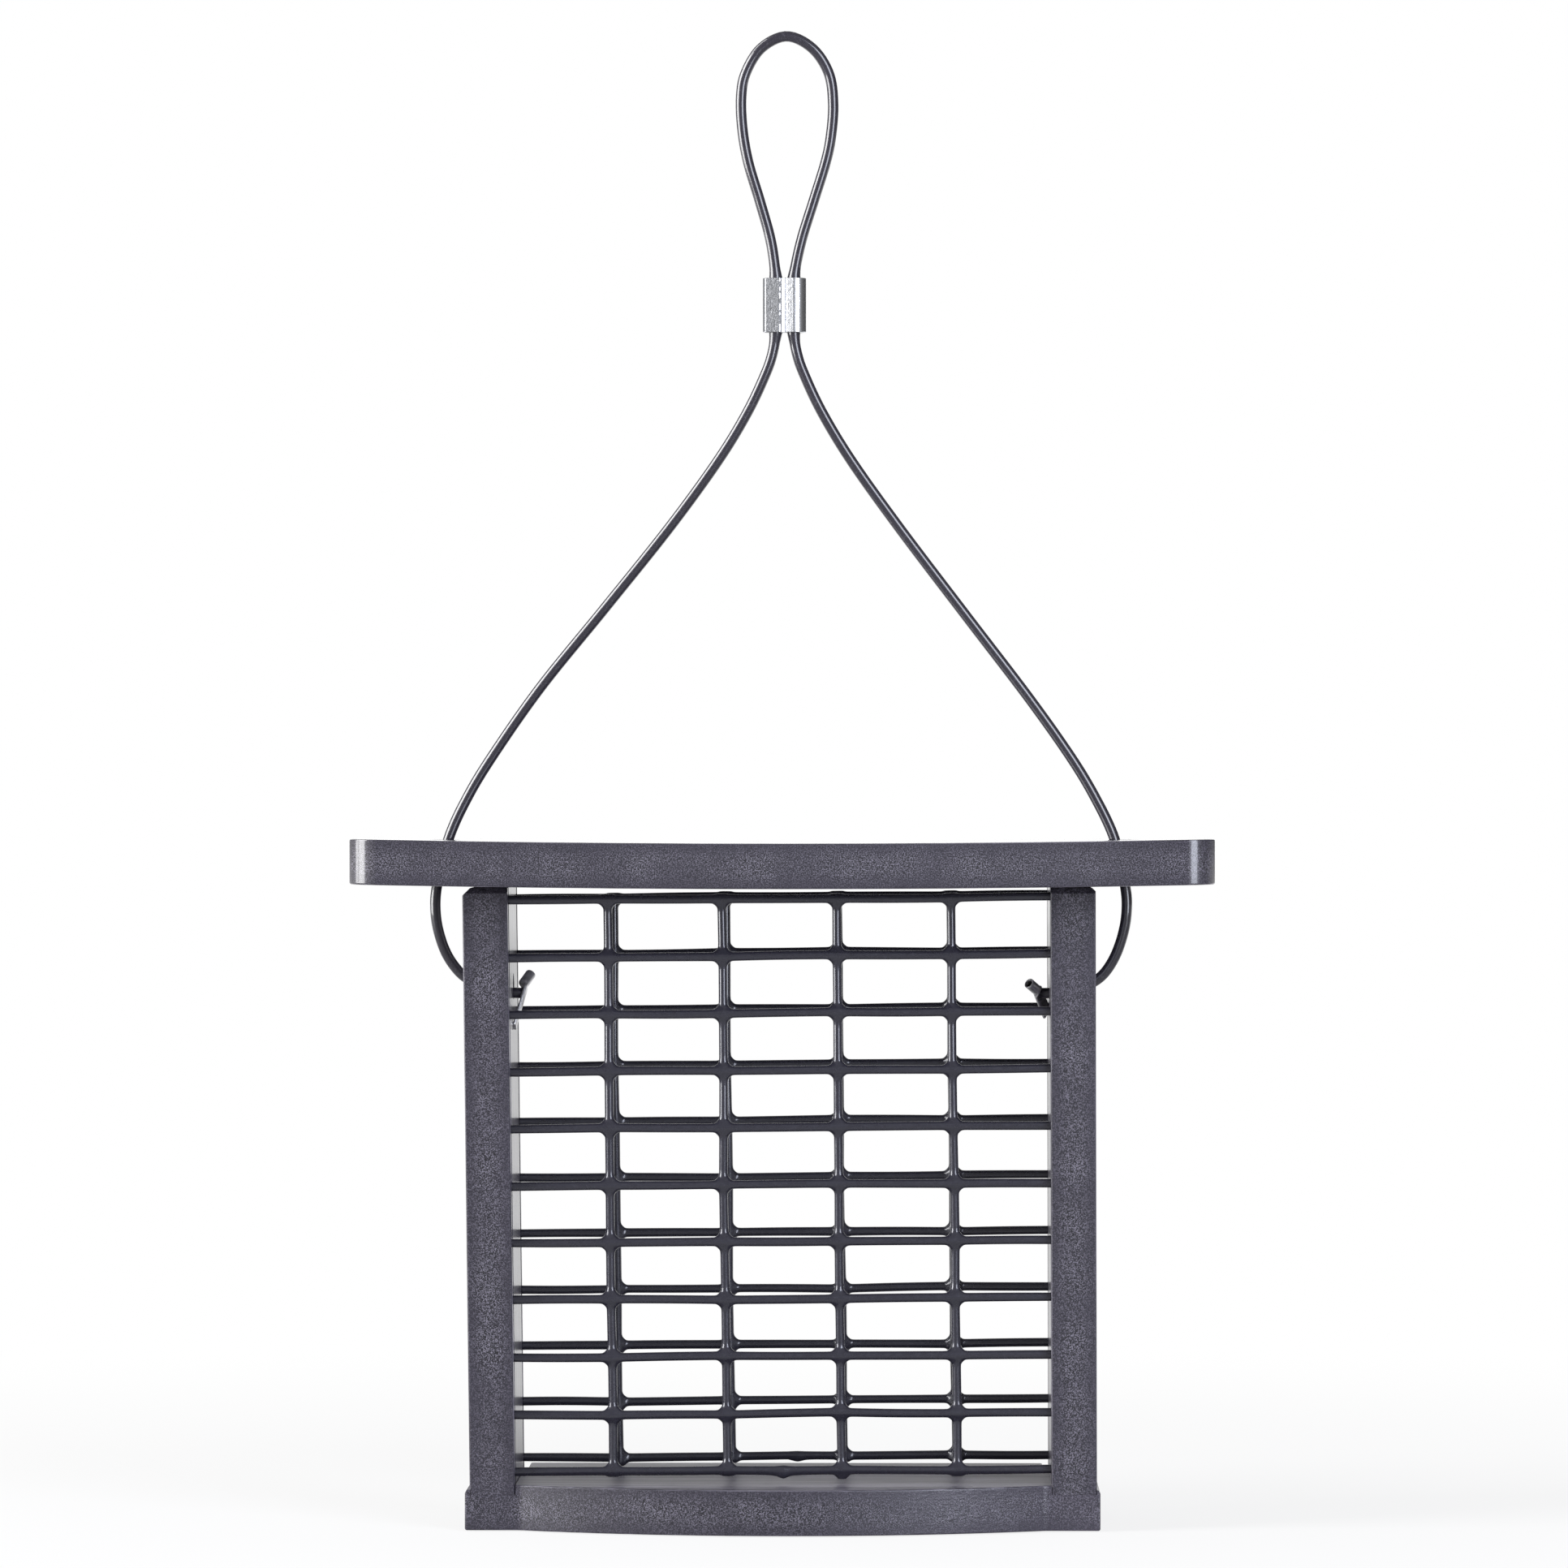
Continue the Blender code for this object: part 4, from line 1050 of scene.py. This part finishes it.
class FEEDER_OT_fittings(bpy.types.Operator):
    """Builds the crimped sleeve, the stops, the strand ends and the screws"""

    bl_idname = "feeder.fittings"
    bl_label = "Metal fittings"

    def execute(self, context):
        build_sleeve(context)
        stop_steel = steel_finish("stop_steel", context, level=1.9, roughness=0.22)
        screw_steel = steel_finish("screw_zinc", context, level=1.1, roughness=0.2)
        for side_name in ("left", "right"):
            tail_route = LEFT_TAIL_ROUTE if side_name == "left" else RIGHT_TAIL_ROUTE
            build_stop(side_name, tail_route, stop_steel)
            build_core(side_name, tail_route, stop_steel)
        for node in [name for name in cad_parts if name.startswith("base_screw")]:
            build_screw(node, screw_steel)
        return {"FINISHED"}


class FEEDER_OT_stage(bpy.types.Operator):
    """Sets up the floor, the light and the camera"""

    bl_idname = "feeder.stage"
    bl_label = "Stage"

    def execute(self, context):
        build_floor()
        build_world(context.scene)
        for lamp in LAMPS:
            add_lamp(lamp)
        build_camera(context.scene)
        context.scene.view_settings.view_transform = "Standard"
        return {"FINISHED"}


class FEEDER_PT_panel(bpy.types.Panel):
    """Lists the feeder's pieces, sizes and colours in the sidebar"""

    bl_label = "Suet feeder"
    bl_idname = "FEEDER_PT_panel"
    bl_space_type = "VIEW_3D"
    bl_region_type = "UI"
    bl_category = "Suet feeder"

    def draw(self, context):
        for operator in OPERATORS:
            self.layout.operator(operator.bl_idname)
        for group in (context.scene.feeder_sizes, context.scene.feeder_colours):
            box = self.layout.box()
            for name in group.bl_rna.properties.keys():
                if name not in ("rna_type", "name"):
                    box.prop(group, name)


# The stage

def white_backdrop(finish):
    """One where a ray comes from the camera, a mirror or glass, and zero for other rays."""
    path = finish.add("ShaderNodeLightPath").socket.node.outputs
    rays = [Socket(finish, path[name]) for name in ("Is Camera Ray", "Is Glossy Ray", "Is Transmission Ray")]
    return rays[0], rays[1].larger(rays[2])


def build_floor():
    bm = bmesh.new()
    bmesh.ops.create_circle(bm, cap_ends=True, segments=96, radius=FLOOR_RADIUS)
    bmesh.ops.translate(bm, verts=bm.verts, vec=(0, 0, -FLOOR_DROP))
    mesh = bpy.data.meshes.new("floor")
    bm.to_mesh(mesh)
    bm.free()
    floor = bpy.data.objects.new("floor", mesh)
    bpy.context.scene.collection.objects.link(floor)
    finish = new_finish("white_floor")
    tree = finish.tree
    seen, mirrored = white_backdrop(finish)
    matte = finish.add("ShaderNodeBsdfDiffuse", inputs={"Color": FLOOR_GREY})
    mirror_level = finish.axes(finish.place())[1].ramp(0.0, 0.5, 0.35, 1.0)
    level = seen * (1 - mirror_level) + mirror_level
    glow = finish.add("ShaderNodeEmission", inputs={"Color": WHITE, "Strength": level})
    near = finish.add("ShaderNodeVectorMath", {"operation": "LENGTH"}, {0: finish.place()}, output=1)
    share = seen.larger(mirrored) * near.ramp(0.10, 0.60, 0.80, 1.0)
    mixed = finish.add("ShaderNodeMixShader", inputs={0: share, 1: matte, 2: glow})
    tree.nodes.remove(tree.nodes["Principled BSDF"])
    finish.join(mixed, tree.nodes["Material Output"].inputs["Surface"])
    mesh.materials.append(finish.owner)


def build_world(scene):
    """White behind the object as the camera and mirrors see it, with dimmer light on it."""
    world = bpy.data.worlds.new("studio")
    scene.world = world
    finish = Finish(world)
    seen, mirrored = white_backdrop(finish)
    across, away = finish.axes(finish.place())[:2]
    dim = (across * 0.8 + away * 0.6).ramp(0.4, 0.95)
    mirror_level = 0.28 - dim * 0.2 + away.ramp(0.93, 0.985) * 1.1
    other_level = mirrored * (mirror_level - ROOM_LEVEL) + ROOM_LEVEL
    background = finish.tree.nodes["Background"]
    background.inputs["Color"].default_value = WHITE
    finish.join(seen * (1 - other_level) + other_level, background.inputs["Strength"])


def add_lamp(lamp):
    """A soft panel at its bearing, turned to the object."""
    angle = math.radians(lamp.bearing)
    place = Vector((math.sin(angle) * LAMP_DISTANCE, -math.cos(angle) * LAMP_DISTANCE, lamp.height))
    light = bpy.data.lights.new(lamp.name, "AREA")
    light.shape = "RECTANGLE"
    light.size, light.size_y = lamp.size
    light.energy = lamp.radiance * math.pi * lamp.size[0] * lamp.size[1]
    light.color = lamp.colour
    holder = bpy.data.objects.new(lamp.name, light)
    holder.location = place
    holder.rotation_euler = (Vector((0, 0, CAMERA_HEIGHT)) - place).to_track_quat("-Z", "Y").to_euler()
    holder.visible_camera = False
    holder.visible_diffuse = lamp.diffuse
    bpy.context.scene.collection.objects.link(holder)


def build_camera(scene):
    camera = bpy.data.cameras.new("camera")
    camera.sensor_width = SENSOR_WIDTH_MM
    camera.lens = SENSOR_WIDTH_MM * FOCAL_LENGTH_PIXELS / PHOTO_WIDTH
    holder = bpy.data.objects.new("camera", camera)
    back = math.sqrt(CAMERA_DISTANCE ** 2 - CAMERA_SIDE ** 2)
    holder.location = (CAMERA_SIDE, -back, CAMERA_HEIGHT)
    aim = Vector((0, 0, CAMERA_HEIGHT)) - holder.location
    holder.rotation_euler = aim.to_track_quat("-Z", "Y").to_euler()
    scene.collection.objects.link(holder)
    scene.camera = holder


GROUPS = (FeederSizes, FeederColours)
OPERATORS = (FEEDER_OT_stage, FEEDER_OT_cable, FEEDER_OT_panels, FEEDER_OT_boards, FEEDER_OT_fittings)


def register():
    for kind in (*GROUPS, *OPERATORS, FEEDER_PT_panel):
        bpy.utils.register_class(kind)
    bpy.types.Scene.feeder_sizes = PointerProperty(type=FeederSizes)
    bpy.types.Scene.feeder_colours = PointerProperty(type=FeederColours)


def unregister():
    del bpy.types.Scene.feeder_sizes
    del bpy.types.Scene.feeder_colours
    for kind in reversed((*GROUPS, *OPERATORS, FEEDER_PT_panel)):
        bpy.utils.unregister_class(kind)


def main():
    register()
    bpy.ops.feeder.stage()
    bpy.ops.feeder.cable()
    bpy.ops.feeder.panels()
    bpy.ops.feeder.boards()
    bpy.ops.feeder.fittings()


if __name__ == "__main__":
    main()
